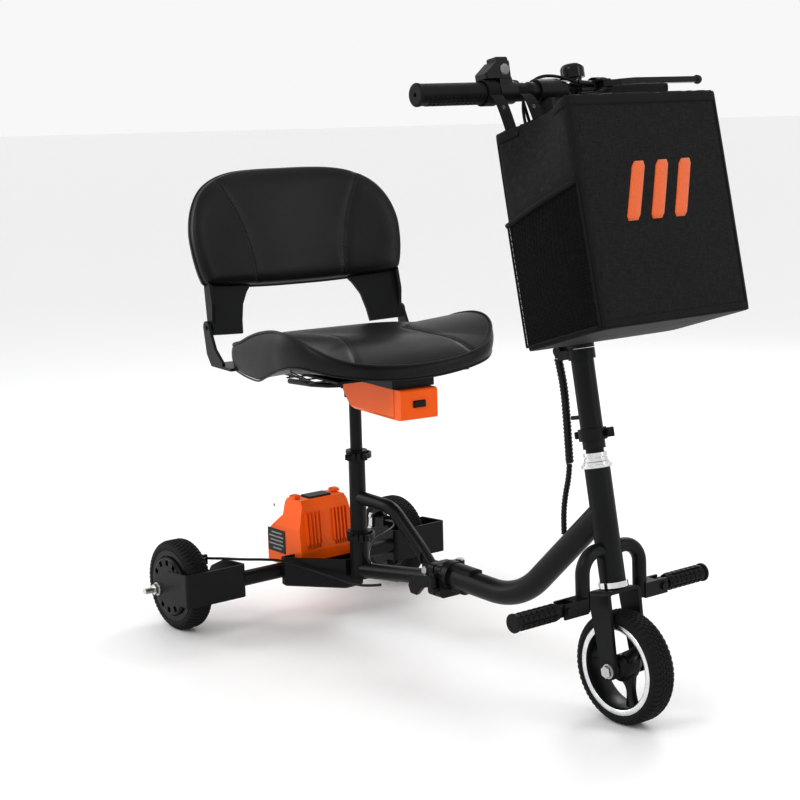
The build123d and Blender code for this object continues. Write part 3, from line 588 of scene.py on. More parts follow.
# ---- camera, light and floor ----
def look(name, location, azimuth, pitch, roll):
    """A camera aimed by heading, downward pitch and roll, in degrees."""
    a, p = math.radians(azimuth), math.radians(pitch)
    forward = Vector((-math.sin(a) * math.cos(p), math.cos(a) * math.cos(p), -math.sin(p)))
    right = Vector((math.cos(a), math.sin(a), 0))
    up = right.cross(forward)
    r = math.radians(roll)
    right, up = (right * math.cos(r) + up * math.sin(r), up * math.cos(r) - right * math.sin(r))
    data = bpy.data.cameras.new(name)
    obj = bpy.data.objects.new(name, data)
    obj.matrix_world = Matrix((right, up, -forward)).transposed().to_4x4()
    obj.location = location
    bpy.context.scene.collection.objects.link(obj)
    return obj


camera = look("camera", W(2722.9, -1853.9, 963.9), 51.98, 9.93, -1.52)
camera.data.lens = 79.16
camera.data.sensor_width = 36
camera.data.clip_end = 50
bpy.context.scene.camera = camera


def area_light(name, location, target, size, power, color=(1, 1, 1)):
    data = bpy.data.lights.new(name, "AREA")
    data.shape = "RECTANGLE"
    data.size, data.size_y = size
    data.energy = power
    data.color = color
    obj = bpy.data.objects.new(name, data)
    obj.location = location
    obj.rotation_euler = (Vector(target) - Vector(location)).to_track_quat("-Z", "Y").to_euler()
    bpy.context.scene.collection.objects.link(obj)


def studio():
    world = bpy.data.worlds.new("studio")
    world.use_nodes = True
    world.node_tree.nodes["Background"].inputs["Color"].default_value = (1, 1, 1, 1)
    world.node_tree.nodes["Background"].inputs["Strength"].default_value = 0.95
    bpy.context.scene.world = world
    area_light("key", (0.6, -2.6, 2.6), (0, 0, 0.5), (1.3, 1.3), 24)
    area_light("side", (-2.6, -1.6, 1.6), (0, 0, 0.5), (0.5, 2.4), 20)
    area_light("rim", (-1.2, 2.6, 2.2), (0, 0, 0.5), (1.2, 1.2), 22)
    area_light("front", (2.8, 1.2, 1.8), (0, 0, 0.5), (0.6, 2.2), 14)
    mesh = bpy.data.meshes.new("floor")
    reach = 60
    corners = [(-reach, -reach, 0), (reach, -reach, 0), (reach, reach, 0), (-reach, reach, 0)]
    mesh.from_pydata(corners, [], [(0, 1, 2, 3)])
    floor = bpy.data.objects.new("floor", mesh)
    m = Shader("pale_floor", gray(0.93), 0.55)
    m.rough(m.noise(3, 2), 0.5, 0.6)
    mesh.materials.append(m.mat)
    bpy.context.scene.collection.objects.link(floor)
    bpy.context.scene.view_settings.view_transform = "Standard"
    bpy.context.scene.view_settings.exposure = 0.0
    bpy.context.scene.view_settings.gamma = 0.8


studio()


# ---- tyres ----
def crown_profile(radius, width, flange):
    """Half of a tyre's outline, from rim flange to mid-tread: (distance from mid-plane, radius)."""
    half = width / 2
    return [(half - 2.2, flange), (half - 0.4, flange + 2.5), (half, flange + 5), (half - 0.6, radius - 8),
            (half - 3.5, radius - 3.6), (half - 8, radius - 1.9), (half - 14, radius - 1.3), (0, radius - 1.1)]


def profile_radius(profile, y):
    table = sorted((p[0], p[1]) for p in profile if p[1] > profile[3][1] - 0.1)
    return interpolate(table, abs(y))


def make_tyre(name, node, body, centre_x, centre_y, centre_z, radius, width, flange):
    """A solid tyre: carcass, beads and staggered tread blocks with shoulder lugs."""
    half = crown_profile(radius, width, flange)
    bead = [(half[0][0], flange - 5.5)]
    line = bead + half + [(-y, r) for y, r in reversed(half[:-1])] + [(-y, r) for y, r in bead]
    count = 128

    def at(angle, y, r):
        p = Vector((r * math.sin(angle), y, r * math.cos(angle))) / 1000
        return p + W(centre_x, centre_y, centre_z)

    rings = [[at(math.tau * i / count, y, r) for y, r in line] for i in range(count)]
    rings.append(rings[0])
    parts = [rings_mesh(rings, False, False, False)]
    blocks = 60
    rows = [(-5.6, 5.0, 0.0, 0.72), (0.4, 5.0, 0.5, 0.72), (6.2, 4.4, 0.0, 0.7), (-11.2, 4.4, 0.5, 0.7)]
    edge = width / 2
    for start, wide, phase, fill in rows:
        for i in range(blocks):
            a0 = math.tau * (i + phase) / blocks
            a1 = a0 + math.tau / blocks * fill
            skew = math.tau / blocks * 0.14
            parts.append(tread_block(at, half, a0, a1, start, start + wide, skew))
    for side in (-1, 1):
        for i in range(blocks):
            a0 = math.tau * (i + 0.25 * side) / blocks
            a1 = a0 + math.tau / blocks * 0.66
            ys = [side * (edge - 10.2), side * (edge - 5.0), side * (edge - 1.6), side * (edge + 0.1)]
            rs = [radius, radius - 1.6, radius - 4.4, radius - 11.5]
            rings = []
            for a in (a0, a0 + (a1 - a0) * 0.08, a1 - (a1 - a0) * 0.08, a1):
                drop = 1.2 if a in (a0, a1) else 0.0
                top = [at(a, y, r - drop * 0.6) for y, r in zip(ys, rs)]
                under = [at(a, y - side * 2.2, r - 3.5) for y, r in zip(reversed(ys), reversed(rs))]
                rings.append(top + under)
            parts.append(rings_mesh(rings))
    verts, faces = join(parts)
    return piece(name, verts, faces, TYRE, body, True, [node], split=38)


def tread_block(at, half, a0, a1, y0, y1, skew):
    rings = []
    for a, low_by in ((a0, 1.1), (a0 + (a1 - a0) * 0.08, 0.0), (a1 - (a1 - a0) * 0.08, 0.0), (a1, 1.1)):
        ring = []
        for y, edge in ((y0, 1), (y0 + 0.4, 0), (y1 - 0.4, 0), (y1, 1)):
            r = profile_radius(half, y) + (1.1 - low_by if not edge else 0.1)
            ring.append(at(a + skew * (y - y0) / (y1 - y0), y, r))
        ring.append(at(a + skew, y1, profile_radius(half, y1) - 1.0))
        ring.append(at(a, y0, profile_radius(half, y0) - 1.0))
        rings.append(ring)
    return rings_mesh(rings)


make_tyre("front_tyre", "tyre_front", "wheel_front", WHEELBASE, 0, FRONT_R, 88, 44, 72)
make_tyre("rear_tyre_right", "tyre_rear_right", "wheel_rear_right", 0, -249, 83, 83, 42, 66)
make_tyre("rear_tyre_left", "tyre_rear_left", "wheel_rear_left", 0, 249, 83, 83, 42, 66)


# ---- front rim: black twisted spokes inside a bright machined edge ----
def make_front_rim():
    centre = W(WHEELBASE, 0, FRONT_R)
    y = Vector((0, 1, 0))
    mm = 0.001
    barrel = [(-21, 71.5), (-20.2, 72), (-18.2, 71.6), (-17.6, 66), (17.6, 66), (18.2, 71.6), (20.2, 72), (21, 71.5),
              (20.6, 63.5), (16, 60.5), (-16, 60.5), (-20.6, 63.5), (-21, 71.5)]
    parts = [turned(centre, y, [(a * mm, r * mm) for a, r in barrel], 96, False)]
    hub = [(-21, 6.2), (-21, 14), (-19.5, 15.5), (-16, 16.5), (-11, 21), (11, 21), (16, 16.5), (19.5, 15.5),
           (21, 14), (21, 6.2)]
    parts.append(turned(centre, y, [(a * mm, r * mm) for a, r in hub], 48, False))
    for k in range(3):
        rings = []
        for i in range(9):
            t = i / 8
            r = 18 + 44.5 * t
            width = 13 - 8 * math.sin(math.pi * t) + 6 * t
            deep = 7.5 - 1.5 * math.sin(math.pi * t)
            bend = math.radians(16) * math.sin(math.pi * t * 0.5) + math.tau * k / 3 + math.radians(28)
            twist = math.radians(38) * (t - 0.3)
            radial = Vector((math.sin(bend), 0, math.cos(bend)))
            across = Vector((math.cos(bend), 0, -math.sin(bend)))
            a1 = across * math.cos(twist) + y * math.sin(twist)
            a2 = y * math.cos(twist) - across * math.sin(twist)
            ring = []
            for j in range(12):
                u = math.tau * j / 12
                cx, cy = math.cos(u), math.sin(u)
                cx = math.copysign(abs(cx) ** 0.6, cx)
                cy = math.copysign(abs(cy) ** 0.6, cy)
                ring.append(centre + (radial * r + a1 * cx * width + a2 * cy * deep) * mm)
            rings.append(ring)
        parts.append(rings_mesh(rings))
    verts, faces = join(parts)
    piece("front_rim", verts, faces, CAST_BLACK, "wheel_front", True, ["rim_front"], split=40)
    bright = []
    for side in (-1, 1):
        edge = [(side * 20.7, 63.2), (side * 21.6, 64.2), (side * 22.0, 68), (side * 21.8, 71.4), (side * 20.8, 72.2)]
        bright.append(turned(centre, y, [(a * mm, r * mm) for a, r in edge], 96, False))
    verts, faces = join(bright)
    piece("front_rim_edge", verts, faces, ALLOY, "wheel_front", True)


make_front_rim()


# ---- seat cushion ----
SEAT_MID = 275.0
# half outline from mid-back to mid-front: X, Y, height of the welt, height of the hem
SEAT_EDGE = [(90, 0, 530, 497), (90, 60, 530, 497), (91, 110, 530, 498), (97, 150, 529, 497), (112, 181, 529, 494),
             (138, 196, 530, 488), (175, 200, 540, 483), (210, 201, 552, 480), (245, 201, 562, 480),
             (275, 201, 568, 490), (305, 200, 572, 501), (335, 199, 572, 510), (362, 194, 568, 515),
             (386, 186, 560, 516), (406, 173, 549, 512), (424, 154, 537, 506), (436, 128, 527, 501),
             (443, 95, 520, 496), (446, 50, 515, 491), (447, 0, 513, 489)]
SEAT_SEAM = [(186, 196), (206, 150), (232, 105), (262, 80), (300, 74), (345, 84), (395, 100), (446, 116)]


def closed_loop(half, step):
    """A whole outline from its half, mirrored in the second coordinate and resampled evenly."""
    whole = [Vector(p) for p in half] + [Vector((p[0], -p[1], *p[2:])) for p in reversed(half[1:-1])]
    n = len(whole)
    dense = []
    for k in range(n):
        a, b, c, d = (whole[(k + o) % n] for o in (-1, 0, 1, 2))
        for i in range(24):
            t = i / 24
            dense.append(0.5 * ((2 * b) + (c - a) * t + (2 * a - 5 * b + 4 * c - d) * t * t
                                + (3 * b - a - 3 * c + d) * t ** 3))
    length = [0.0]
    for a, b in zip(dense, dense[1:] + dense[:1]):
        length.append(length[-1] + math.hypot(b[0] - a[0], b[1] - a[1]))
    count = int(length[-1] / step) // 2 * 2
    out, k = [], 0
    for i in range(count):
        s = length[-1] * i / count
        while length[k + 1] < s:
            k += 1
        t = (s - length[k]) / (length[k + 1] - length[k])
        out.append(dense[k].lerp(dense[(k + 1) % len(dense)], t))
    return out


def seat_top(r, welt):
    """Height of the cushion's top at a fraction r of the way out to the welt."""
    middle = 543.0
    rise = welt - middle
    shaped = rise * (r ** 2.4 if rise > 0 else r ** 5)
    return middle + shaped + 4.0 * math.sin(math.pi * min(1, r) ** 1.6) * (0.4 + 0.6 * r)


def make_seat():
    loop = closed_loop(SEAT_EDGE, 6.5)
    count = len(loop)
    radii = [0.04, 0.1, 0.18, 0.26, 0.34, 0.42, 0.5, 0.57, 0.64, 0.7, 0.76, 0.81, 0.86, 0.9, 0.935, 0.965, 0.985, 1.0]
    rings = []
    for r in radii:
        rings.append([T(SEAT_MID + (x - SEAT_MID) * r, y * r, seat_top(r, welt)) for x, y, welt, hem in loop])
    welt_ring = len(rings) - 1
    for t, out in ((0.12, 2.2), (0.3, 3.6), (0.5, 3.8), (0.7, 2.8), (0.86, 1.2), (1.0, -0.5)):
        ring = []
        for x, y, welt, hem in loop:
            d = Vector((x - SEAT_MID, y)).normalized()
            ring.append(T(x + d.x * out, y + d.y * out, welt + (hem - welt) * t))
        rings.append(ring)
    hem_ring = len(rings) - 1
    for r in (0.975, 0.93, 0.85, 0.72, 0.5, 0.25, 0.04):
        rings.append([T(SEAT_MID + (x - SEAT_MID) * r, y * r, 491 + (hem + 1.5 - 491) * r ** 5)
                      for x, y, welt, hem in loop])
    verts, faces = rings_mesh(rings)
    obj = piece("seat_pad", verts, faces, VINYL, "seat", True, ["seat_cushion"])
    pinned = [i for i in range(len(verts)) if i // count == welt_ring or i // count >= hem_ring]
    inflate(obj, pinned, 0.005)
    lines = [spline([T(x, side * y, 545) for x, y in SEAT_SEAM], 0.004) for side in (-1, 1)]
    mesh = obj.data
    welt_line = [mesh.vertices[welt_ring * count + j].co.copy() for j in range(count)]
    hem_line = [mesh.vertices[hem_ring * count + j].co.copy() for j in range(count)]
    refined(obj)
    groove(obj, lines, (0, 1), Vector((0, 0, -1)), 0.0016, T(SEAT_MID, 0, 520).z)
    subdivided(obj, 1)
    tree = surface_tree(obj)
    verts, faces = join([tube_part(welt_line, 0.0021, 10, True), tube_part(hem_line, 0.0016, 8, True)])
    piece("seat_piping", verts, faces, PIPING, "seat", True)
    threads, creases = [], []
    down = Vector((0, 0, -1))
    for line in lines:
        creases.append(tube_part([p for p, _ in dropped(tree, line, 0, down)][1:-2], 0.0007, 6))
        for offset in (-0.0038, 0.0038):
            row = dropped(tree, spline(line, 0.0017), offset, down)[3:-6]
            threads += stitches([p for p, n in row], [n for p, n in row])
    centre = T(SEAT_MID, 0, 545)
    inside = []
    for p in welt_line:
        towards = Vector((centre.x - p.x, centre.y - p.y, 0)).normalized()
        inside.append(p + towards * 0.0065 + Vector((0, 0, 0.003)))
    threads += stitches(*on_surface(tree, spline(inside + [inside[0]], 0.0017)))
    verts, faces = join(threads)
    piece("seat_stitching", verts, faces, THREAD, "seat", True)
    verts, faces = join(creases)
    piece("seat_seams", verts, faces, PIPING, "seat", True)


def flattened(v, axes):
    return Vector((v[axes[0]], v[axes[1]], 0))


def groove(obj, lines, axes, inward, depth, limit):
    """Presses a mesh in along sewn lines, seen in the plane of two axes, on its outer side only."""
    sewn = [flattened(q, axes) for line in lines for q in line]
    near = KDTree(len(sewn))
    for k, q in enumerate(sewn):
        near.insert(q, k)
    near.balance()
    for vertex in obj.data.vertices:
        v = vertex.co
        if inward.z < -0.5 and v.z < limit or inward.z > -0.5 and vertex.normal.dot(inward) > -0.3:
            continue
        gap = near.find(flattened(v, axes))[2]
        if gap < 0.03:
            vertex.co = v + inward * depth * math.exp(-(gap / 0.0055) ** 2)


def dropped(tree, line, offset, down):
    """Points of a line, moved sideways and dropped onto a surface: (place, normal) pairs."""
    row = []
    for a, b in zip(line, line[1:]):
        side = (b - a).normalized().cross(down)
        hit, normal, _, _ = tree.ray_cast(a + side * offset - down * 0.08, down)
        if hit:
            row.append((hit, normal))
    return row


make_seat()


# ---- backrest ----
BACK_EDGE = [(0, 842), (60, 841), (108, 836), (148, 823), (180, 801), (202, 768), (213, 728), (213, 690),
             (209, 660), (203, 638), (192, 628), (120, 625), (60, 624), (0, 624)]
BACK_HINGE = (43.0, 552.0)
BACK_TILT = math.radians(16)
BACK_R, BACK_FACE, BACK_DEEP = 709.0, 44.0, 38.0
BACK_SEAM = [(148, 822), (136, 800), (118, 762), (104, 722), (95, 678), (90, 626)]


def back_point(y, z, depth):
    """A point of the pad: depth 0 is its front face and 1 its back."""
    x = BACK_FACE + BACK_R - math.sqrt((BACK_R + BACK_DEEP * depth) ** 2 - y ** 2)
    dx, dz = x - BACK_HINGE[0], z - BACK_HINGE[1]
    c, s = math.cos(BACK_TILT), math.sin(BACK_TILT)
    return T(BACK_HINGE[0] + dx * c - dz * s, y, BACK_HINGE[1] + dx * s + dz * c)


def make_backrest():
    loop = [Vector((p[1], p[0])) for p in closed_loop([(z, y) for y, z in BACK_EDGE], 6.5)]
    count = len(loop)
    centre = Vector((0, 733))
    rings = []
    for r in (0.05, 0.14, 0.24, 0.34, 0.44, 0.54, 0.63, 0.72, 0.8, 0.87, 0.925, 0.965, 0.99):
        dip = 0.14 * max(0.0, (r - 0.82) / 0.18) ** 2.2
        rings.append([back_point(*(centre + (p - centre) * r), -0.06 * (1 - r * r) + dip) for p in loop])
    for depth, r in ((0.22, 1.0), (0.34, 1.004), (0.5, 1.006)):
        rings.append([back_point(*(centre + (p - centre) * r), depth) for p in loop])
    welt_ring = len(rings) - 1
    for depth, r in ((0.66, 1.005), (0.8, 1.0), (0.92, 0.985), (0.99, 0.955)):
        rings.append([back_point(*(centre + (p - centre) * r), depth) for p in loop])
    for r in (0.9, 0.8, 0.66, 0.5, 0.32, 0.14, 0.05):
        rings.append([back_point(*(centre + (p - centre) * r), 1.0 + 0.02 * (1 - r)) for p in loop])
    verts, faces = rings_mesh(rings)
    obj = piece("back_pad", verts, faces, VINYL, "backrest", True, ["backrest_pad"])
    pinned = [i for i in range(len(verts)) if i // count == welt_ring or i // count > welt_ring + 4]
    inflate(obj, pinned, 0.006)
    lines = [spline([back_point(side * y, z, 0.0) for y, z in BACK_SEAM], 0.003) for side in (-1, 1)]
    inward = (back_point(0, 700, 1) - back_point(0, 700, 0)).normalized()
    welt_line = [obj.data.vertices[welt_ring * count + j].co.copy() for j in range(count)]
    refined(obj)
    groove(obj, lines, (1, 2), inward, 0.0018, 0.0)
    subdivided(obj, 1)
    tree = surface_tree(obj)
    verts, faces = tube_part(welt_line, 0.0022, 10, True)
    piece("back_piping", verts, faces, PIPING, "backrest", True)
    threads, creases = [], []
    for line in lines:
        creases.append(tube_part([p for p, _ in dropped(tree, line, 0, inward)][1:-2], 0.0008, 6))
        for offset in (-0.0042, 0.0042):
            row = dropped(tree, spline(line, 0.0017), offset, inward)[3:-4]
            threads += stitches([p for p, n in row], [n for p, n in row])
    verts, faces = join(threads)
    piece("back_stitching", verts, faces, THREAD, "backrest", True)
    verts, faces = join(creases)
    piece("back_seams", verts, faces, PIPING, "backrest", True)


make_backrest()


# ---- bag ----
BAG_TOP_BACK, BAG_LOW_BACK, BAG_TOE, BAG_TOP_FRONT = (40, 815), (48, 499), (213.5, 516), (203, 844)
BAG_HALF = 154.0


def bag_corner(u, v):
    """A point of the side outline: u from back to front, v from bottom to top, in steering coordinates."""
    lowp = Vector(BAG_LOW_BACK).lerp(Vector(BAG_TOE), u)
    top = Vector(BAG_TOP_BACK).lerp(Vector(BAG_TOP_FRONT), u)
    return lowp.lerp(top, v)


def bag_wall(s, v):
    """A point of the wall: s runs once round from the back's middle, v from bottom to top."""
    quarter = s * 4 % 4
    # walk: back (left to right), right side, front, left side
    ring = [(0.0, 1.0), (0.0, -1.0), (1.0, -1.0), (1.0, 1.0)]
    k = int(quarter) % 4
    t = quarter - int(quarter)
    a, b = ring[k], ring[(k + 1) % 4]
    u, w = a[0] + (b[0] - a[0]) * t, a[1] + (b[1] - a[1]) * t
    p = bag_corner(u, v)
    x, y, z = p.x, w * BAG_HALF, p.y
    bulge = math.sin(math.pi * t) * math.sin(math.pi * min(1, v * 1.05 + 0.02))
    if k == 1:
        pinch = max(0.0, (v - 0.62) / 0.38) ** 1.5 * math.sin(math.pi * t) ** 2
        y += -3.0 * bulge + 26.0 * pinch
    elif k == 3:
        pinch = max(0.0, (v - 0.62) / 0.38) ** 1.5 * math.sin(math.pi * t) ** 2
        y += 3.0 * bulge - 26.0 * pinch
    elif k == 2:
        x += 4.0 * bulge - 2.0
    else:
        x -= 2.0 * bulge
    return S(x, y, z)


def make_bag():
    columns, rows = 112, 44
    rings = []
    for i in range(rows + 1):
        v = i / rows
        rings.append([bag_wall(j / columns, v) for j in range(columns)])
    # round the four upright corners
    for ring in rings:
        for _ in range(3):
            smooth = [(ring[j - 1] + ring[j] * 2 + ring[(j + 1) % columns]) / 4 for j in range(columns)]
            for j in range(columns):
                ring[j] = smooth[j]
    bottom = []
    for r in (0.985, 0.9, 0.7, 0.45, 0.2):
        centre = sum(rings[0], Vector()) / columns
        sag = S(0, 0, 0) - S(0, 0, 3.5 * (1 - r))
        bottom.append([centre + (p - centre) * r + sag for p in rings[0]])
    verts, faces = rings_mesh(list(reversed(bottom)) + rings, True, True, False)
    obj = piece("bag_shell", verts, faces, NYLON, "stem_upper", True, ["bag"])
    inner = obj.modifiers.new("wall", "SOLIDIFY")
    inner.thickness = 0.0022
    inner.offset = -1
    subdivided(obj, 1)
    # bound edges: webbing over each upright edge, round the rim and round the bottom
    tree = surface_tree(obj)
    tapes = []
    for quarter in (1, 2, 3, 4):
        line = [rings[i][round(columns * quarter / 4) % columns] for i in range(rows + 1)]
        tapes.append(tape(tree, line, 0.011, 0.0012))
    rim = rings[-1]
    tapes.append(tape(tree, rim + [rim[0]], 0.016, 0.0014, S(0, 0, 0) - S(0, 0, 7)))
    foot = rings[1]
    tapes.append(tape(tree, foot + [foot[0]], 0.009, 0.0012))
    verts, faces = join(tapes)
    piece("bag_binding", verts, faces, WEBBING, "stem_upper", True)
    return tree


def tape(tree, line, width, thick, shift=None):
    """A flat strip that follows a line on the fabric."""
    pts = spline([p + shift if shift else p for p in line], 0.006)
    rings = []
    for i, p in enumerate(pts):
        hit, normal, _, _ = tree.find_nearest(p)
        t = (pts[min(i + 1, len(pts) - 1)] - pts[max(i - 1, 0)]).normalized()
        across = t.cross(normal).normalized()
        ring = []
        for k in (-1.0, -0.5, 0.0, 0.5, 1.0):
            q, n, _, _ = tree.find_nearest(hit + across * width / 2 * k)
            ring.append(q + n * thick)
        for k in (1.0, 0.5, 0.0, -0.5, -1.0):
            q, n, _, _ = tree.find_nearest(hit + across * width / 2 * k)
            ring.append(q - n * 0.0002)
        rings.append(ring)
    return rings_mesh(rings)


BAG_TREE = make_bag()


def emblem():
    """Three plain slanted satin-stitch bars on the bag's front."""
    parts = []
    wide = 26
    for y0 in (-78, -30, 18):
        rings = []
        for i in range(13):
            t = i / 12
            z = 662 + 84 * t
            shift = 30 * t
            trim = 1.0 if 0 < i < 12 else 0.7
            ring = []
            for j in range(9):
                s = j / 8
                y = y0 + shift + wide * (0.5 + (s - 0.5) * trim)
                hit, normal, _, _ = BAG_TREE.find_nearest(S(212, y, z))
                ring.append(hit + normal * (0.0004 + 0.0011 * math.sin(math.pi * s) ** 0.5))
            rings.append(ring)
        parts.append(rings_mesh(rings, False, False, False))
    verts, faces = join(parts)
    obj = piece("bag_emblem", verts, faces, ORANGE_THREAD, "stem_upper", True)
    mod = obj.modifiers.new("thick", "SOLIDIFY")
    mod.thickness = 0.0012
    mod.offset = -1


emblem()


def mesh_pocket():
    """Elastic net pocket on the right side of the bag."""
    columns, rows = 22, 42
    grid = []
    for i in range(rows + 1):
        v = 0.02 + 0.56 * i / rows
        row = []
        for j in range(columns + 1):
            t = j / columns
            p = bag_wall(0.25 + 0.25 * (0.03 + 0.94 * t), v + 0.06 * t * i / rows)
            puff = 15.0 * math.sin(math.pi * t) * math.sin(math.pi * min(1.0, 0.12 + 0.8 * i / rows)) + 1.2
            row.append(p + Vector((0, -puff / 1000, 0)))
        grid.append(row)
    verts, faces = [p for row in grid for p in row], []
    n = columns + 1
    for i in range(rows):
        for j in range(columns):
            if (i + j) % 2 == 0:
                faces.append((i * n + j, i * n + j + 1, (i + 1) * n + j + 1))
                faces.append((i * n + j, (i + 1) * n + j + 1, (i + 1) * n + j))
            else:
                faces.append((i * n + j, i * n + j + 1, (i + 1) * n + j))
                faces.append((i * n + j + 1, (i + 1) * n + j + 1, (i + 1) * n + j))
    obj = piece("bag_net", verts, faces, WEBBING, "stem_upper", True)
    mod = obj.modifiers.new("net", "WIREFRAME")
    mod.thickness = 0.0013
    mod.use_even_offset = False
    top = tube_part([p + Vector((0, -0.0008, 0)) for p in grid[-1]], 0.0042, 8)
    edges = [top]
    for line in ([row[0] for row in grid], [row[-1] for row in grid], grid[0]):
        edges.append(tube_part(line, 0.0016, 6))
    verts, faces = join(edges)
    piece("bag_pocket_hem", verts, faces, WEBBING, "stem_upper", True)


mesh_pocket()


# ---- cables: each follows its route on one smooth spline ----
CABLE_R = 0.0024
FROM_LEVER = [(17, 53, 895), (6, 28, 909), (-15, -4, 912), (-34, -20, 882), (-34, -18, 830), (-30, -10, 770),
              (-31, -6, 710), (-30, -5, 650), (-33, -5, 590), (-46, -5, 545), (-54, -4, 512), (-53, -3.5, 481)]
FROM_POD = [(-4, -67, 903), (-18, -36, 911), (-33, -19, 884), (-36, -6, 840), (-33, 3, 792), (-30, 4, 742),
            (-32, 5, 688), (-30, 5, 632), (-36, 4, 580), (-48, 4, 540), (-54, 3.5, 508), (-53, 3.5, 481)]


REAR_CABLE = [(26.5, -208.5, 129), (46, -206, 132), (72, -196, 135), (98, -174, 134), (114, -140, 131),
              (123, -104, 124), (142, -80, 112), (170, -58, 102), (204, -42, 95), (240, -33, 90), (276, -27, 92),
              (306, -19, 99)]
HARNESS_UPPER = [(-53, 0, 480), (-50, 0, 455), (-50, 0.5, 425), (-53, 0, 385), (-57, 0, 345), (-60, 0, 318)]
HARNESS_LOWER = [(-61, 0, 316), (-66, 0, 296), (-80, 0, 268), (-91, 0, 236), (-95, 0, 206)]


def spiral(name, points, radius, thick, pitch, body):
    """Spiral wrap round a loom."""
    line = smooth_line(points)
    frames = path_frames(line)
    turns, wound, last = [], 0.0, frames[0][0]
    for p, _, n, b in frames:
        wound += (p - last).length / pitch * math.tau
        last = p
        turns.append((wound, p, n, b))
    coil = []
    for (w0, p0, n0, b0), (w1, p1, n1, b1) in zip(turns, turns[1:]):
        steps = max(1, round((w1 - w0) / 0.5))
        for i in range(steps):
            k = i / steps
            w = w0 + (w1 - w0) * k
            n, b = n0.lerp(n1, k).normalized(), b0.lerp(b1, k).normalized()
            coil.append(p0.lerp(p1, k) + (n * math.cos(w) + b * math.sin(w)) * radius)
    verts, faces = tube_part(coil, thick, 6)
    piece(name, verts, faces, SHEATH, body, True)


def make_cables():
    curve_piece("lever_cable", [S(*p) for p in FROM_LEVER], CABLE_R, SHEATH, "stem_upper",
                ["control_cables"])
    curve_piece("pod_cable", [S(*p) for p in FROM_POD], CABLE_R, SHEATH, "stem_upper")
    curve_piece("rear_cable_right", [W(*p) for p in REAR_CABLE], CABLE_R, SHEATH, "rear_frame",
                ["rear_cables"])
    curve_piece("rear_cable_left", [W(x, -y, z) for x, y, z in REAR_CABLE], CABLE_R, SHEATH, "rear_frame")
    upper, lower = [S(*p) for p in HARNESS_UPPER], [S(*p) for p in HARNESS_LOWER]
    curve_piece("loom_upper", upper, 0.0060, SHEATH, "stem_lower", ["harness_upper"])
    curve_piece("loom_lower", lower, 0.0042, SHEATH, "steering", ["harness_lower"])
    spiral("loom_wrap_upper", upper, 0.0061, 0.0011, 0.006, "stem_lower")
    spiral("loom_wrap_lower", lower, 0.0043, 0.0009, 0.006, "steering")


make_cables()


# ---- rubber lugs on pegs and grips ----
def ribbed(name, start, axis, radius, rows, around, lug, body, only=None):
    """Square lugs standing on a round sleeve; only limits them to one side, as a direction."""
    x, y, z = frame_at(axis)
    parts = []
    for along in rows:
        for i in range(around):
            a = math.tau * i / around
            out = x * math.cos(a) + y * math.sin(a)
            if only is not None and out.dot(only) < 0.35:
                continue
            centre = Vector(start) + z * along + out * (radius + lug[2] / 2 - 0.0004)
            parts.append(box_part(centre, (lug[0], lug[1], lug[2]), (z.cross(out), z, out), 0.0005))
    verts, faces = join(parts)
    piece(name, verts, faces, GRIP, body, False)


def make_lugs():
    for side, word in ((-1, "right"), (1, "left")):
        out = Vector((0, side, 0))
        peg = W(866, side * 118, 193)
        rows = [0.008 + 0.0105 * i for i in range(7)]
        ribbed("peg_lugs_" + word, peg, out, 0.0125, rows, 9, (0.0055, 0.0080, 0.0016), "footpeg_" + word)
        ring = [(0, 0.0125), (0.0005, 0.0144), (0.0042, 0.0147), (0.0052, 0.0138), (0.0054, 0.0085),
                (0.0030, 0.0078), (0.0030, 0.0)]
        verts, faces = turned(W(866, side * 199, 193), out, ring, 36, False)
        piece("peg_end_" + word, verts, faces, GRIP, "footpeg_" + word, True, split=35)
    down = S(0, 0, -1) - S(0, 0, 0)
    down.normalize()
    for side, body in ((-1, "throttle"), (1, "stem_upper")):
        out = Vector((0, side, 0))
        rows = [0.016 + 0.0085 * i for i in range(14)]
        ribbed("grip_lugs_" + body, S(0, side * 106, 886), out, 0.0158, rows, 22, (0.0030, 0.0062, 0.0014), body,
               down)
        rings = [(0.0, 0.0160), (0.0004, 0.0170), (0.0034, 0.0172), (0.0040, 0.0160)]
        verts, faces = join([turned(S(0, side * 105, 886), out, rings, 40, False),
                             turned(S(0, side * 248, 886), out, rings, 40, False)])
        piece("grip_rings_" + body, verts, faces, GRIP, body, True, split=35)


make_lugs()


# ---- small details ----
def make_housing_details():
    """Blank label, moulded ribs and one screw head of the orange housing."""
    label = [box_part(W(44, -62.5, 140), (0.056, 0.0010, 0.044), bevel=0.0003)]
    verts, faces = join(label)
    piece("housing_label", verts, faces, LABEL, "rear_frame", False)
    marks = []
    for k, wide in enumerate((34, 46, 40, 46, 28)):
        marks.append(box_part(W(44 + (46 - wide) / 2 * (-1) ** k * 0.3, -63.2, 155 - k * 7.5),
                              (wide / 1000, 0.0004, 0.0028)))
    verts, faces = join(marks)
    piece("housing_label_bars", verts, faces, SILVER_INK, "rear_frame", False)
    ribs = []
    for side in (-1, 1):
        for k in range(6):
            y = side * (18 + 5.5 * k)
            ribs.append(tube_part([W(124.4, y, 134), W(121.6, y, 164), W(118.2, y, 196)], 0.0011, 8))
    verts, faces = join(ribs)
    piece("housing_ribs", verts, faces, ORANGE, "rear_frame", True)
    head = [(0, 0.003), (0.0016, 0.003), (0.002, 0.0024), (0.002, 0)]
    verts, faces = join([turned(W(40, -61.8, 208), (0, -1, 0), head, 16, False)])
    piece("housing_screw", verts, faces, ZINC, "rear_frame", True, split=35)


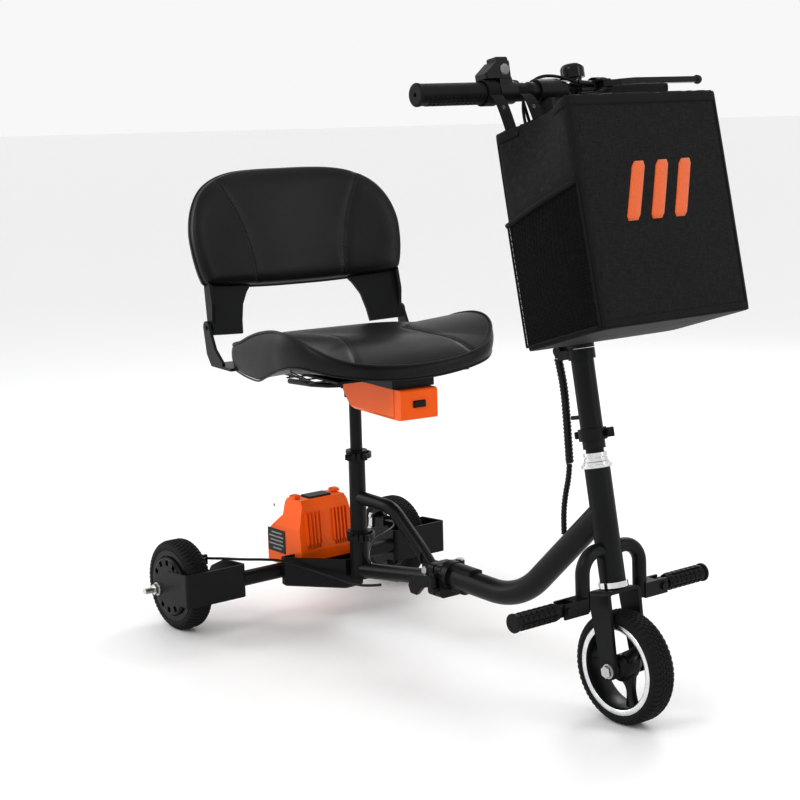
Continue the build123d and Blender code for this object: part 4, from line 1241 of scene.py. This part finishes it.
def make_seat_wires():
    """Wire springs that show under the cushion."""
    parts = []
    for x in (150, 195, 262, 300, 338):
        line = [T(x, -186, 506), T(x + 4, -150, 487), T(x + 4, -134, 483.5), T(x + 4, 134, 483.5), T(x + 4, 150, 487),
                T(x, 186, 506)]
        parts.append(tube_part(spline(line, 0.006), 0.0013, 8))
    for y in (-150, 150):
        parts.append(tube_part([T(140, y, 486.5), T(350, y, 486.5)], 0.0013, 8))
    verts, faces = join(parts)
    piece("seat_wires", verts, faces, BLACK_CHROME, "seat", True)


STRAP_HALF = Vector((0, 0.011, 0))
STRAP_THICK = 0.0015
STRAP_LOOSE = 0.018
BAR_R = 0.0125


def steering_way(x, y, z):
    """A direction of the steering frame, turned into the row frame."""
    return S(x, y, z) - S(0, 0, 0)


def make_bag_straps():
    """Webbing loops that hang the bag on the bar, closed by snap buttons."""
    parts, snaps = [], []
    fwd, up = steering_way(1, 0, 0).normalized(), steering_way(0, 0, 1).normalized()
    outward = steering_way(1, 0, 0.5)
    button = [(0, 0.0055), (0.002, 0.0052), (0.0032, 0.003), (0.0034, 0)]
    for y in (-118, -58, 112):
        centre = S(0, y, 886)
        rim = BAR_R if y == -58 else STRAP_LOOSE
        rings = []
        for t in range(25):
            a = math.pi * 2 * t / 24
            p = centre + fwd * math.cos(a) * rim + up * math.sin(a) * rim
            over = rim + STRAP_THICK
            q = centre + fwd * math.cos(a) * over + up * math.sin(a) * over
            rings.append([p - STRAP_HALF, p + STRAP_HALF, q + STRAP_HALF, q - STRAP_HALF])
        parts.append(rings_mesh(rings, True, False, False))
        tail = []
        for k in range(9):
            t = k / 8
            p = S(16 + 26 * t, y, 880 - 58 * t + 14 * math.sin(math.pi * t))
            n = outward.normalized() * 0.0014
            tail.append([p - STRAP_HALF, p + STRAP_HALF, p + STRAP_HALF + n, p - STRAP_HALF + n])
        parts.append(rings_mesh(tail, True))
        snaps.append(turned(S(30, y, 858), outward, button, 20, False))
    verts, faces = join(parts)
    piece("bag_straps", verts, faces, WEBBING, "stem_upper", False)
    verts, faces = join(snaps)
    piece("bag_snaps", verts, faces, BLACK_CHROME, "stem_upper", True, split=35)


def make_pod_lens():
    """Pale lamp lens in the face of the control pod."""
    dome = [(-0.003, 0.0085), (0.0004, 0.0085), (0.0012, 0.0074), (0.0016, 0.004), (0.0017, 0)]
    verts, faces = join([turned(S(15, -89, 918), steering_way(1, 0, 0), dome, 32, False)])
    piece("pod_lamp", verts, faces, LENS, "stem_upper", True, split=40)


make_housing_details()
make_seat_wires()
make_bag_straps()
make_pod_lens()
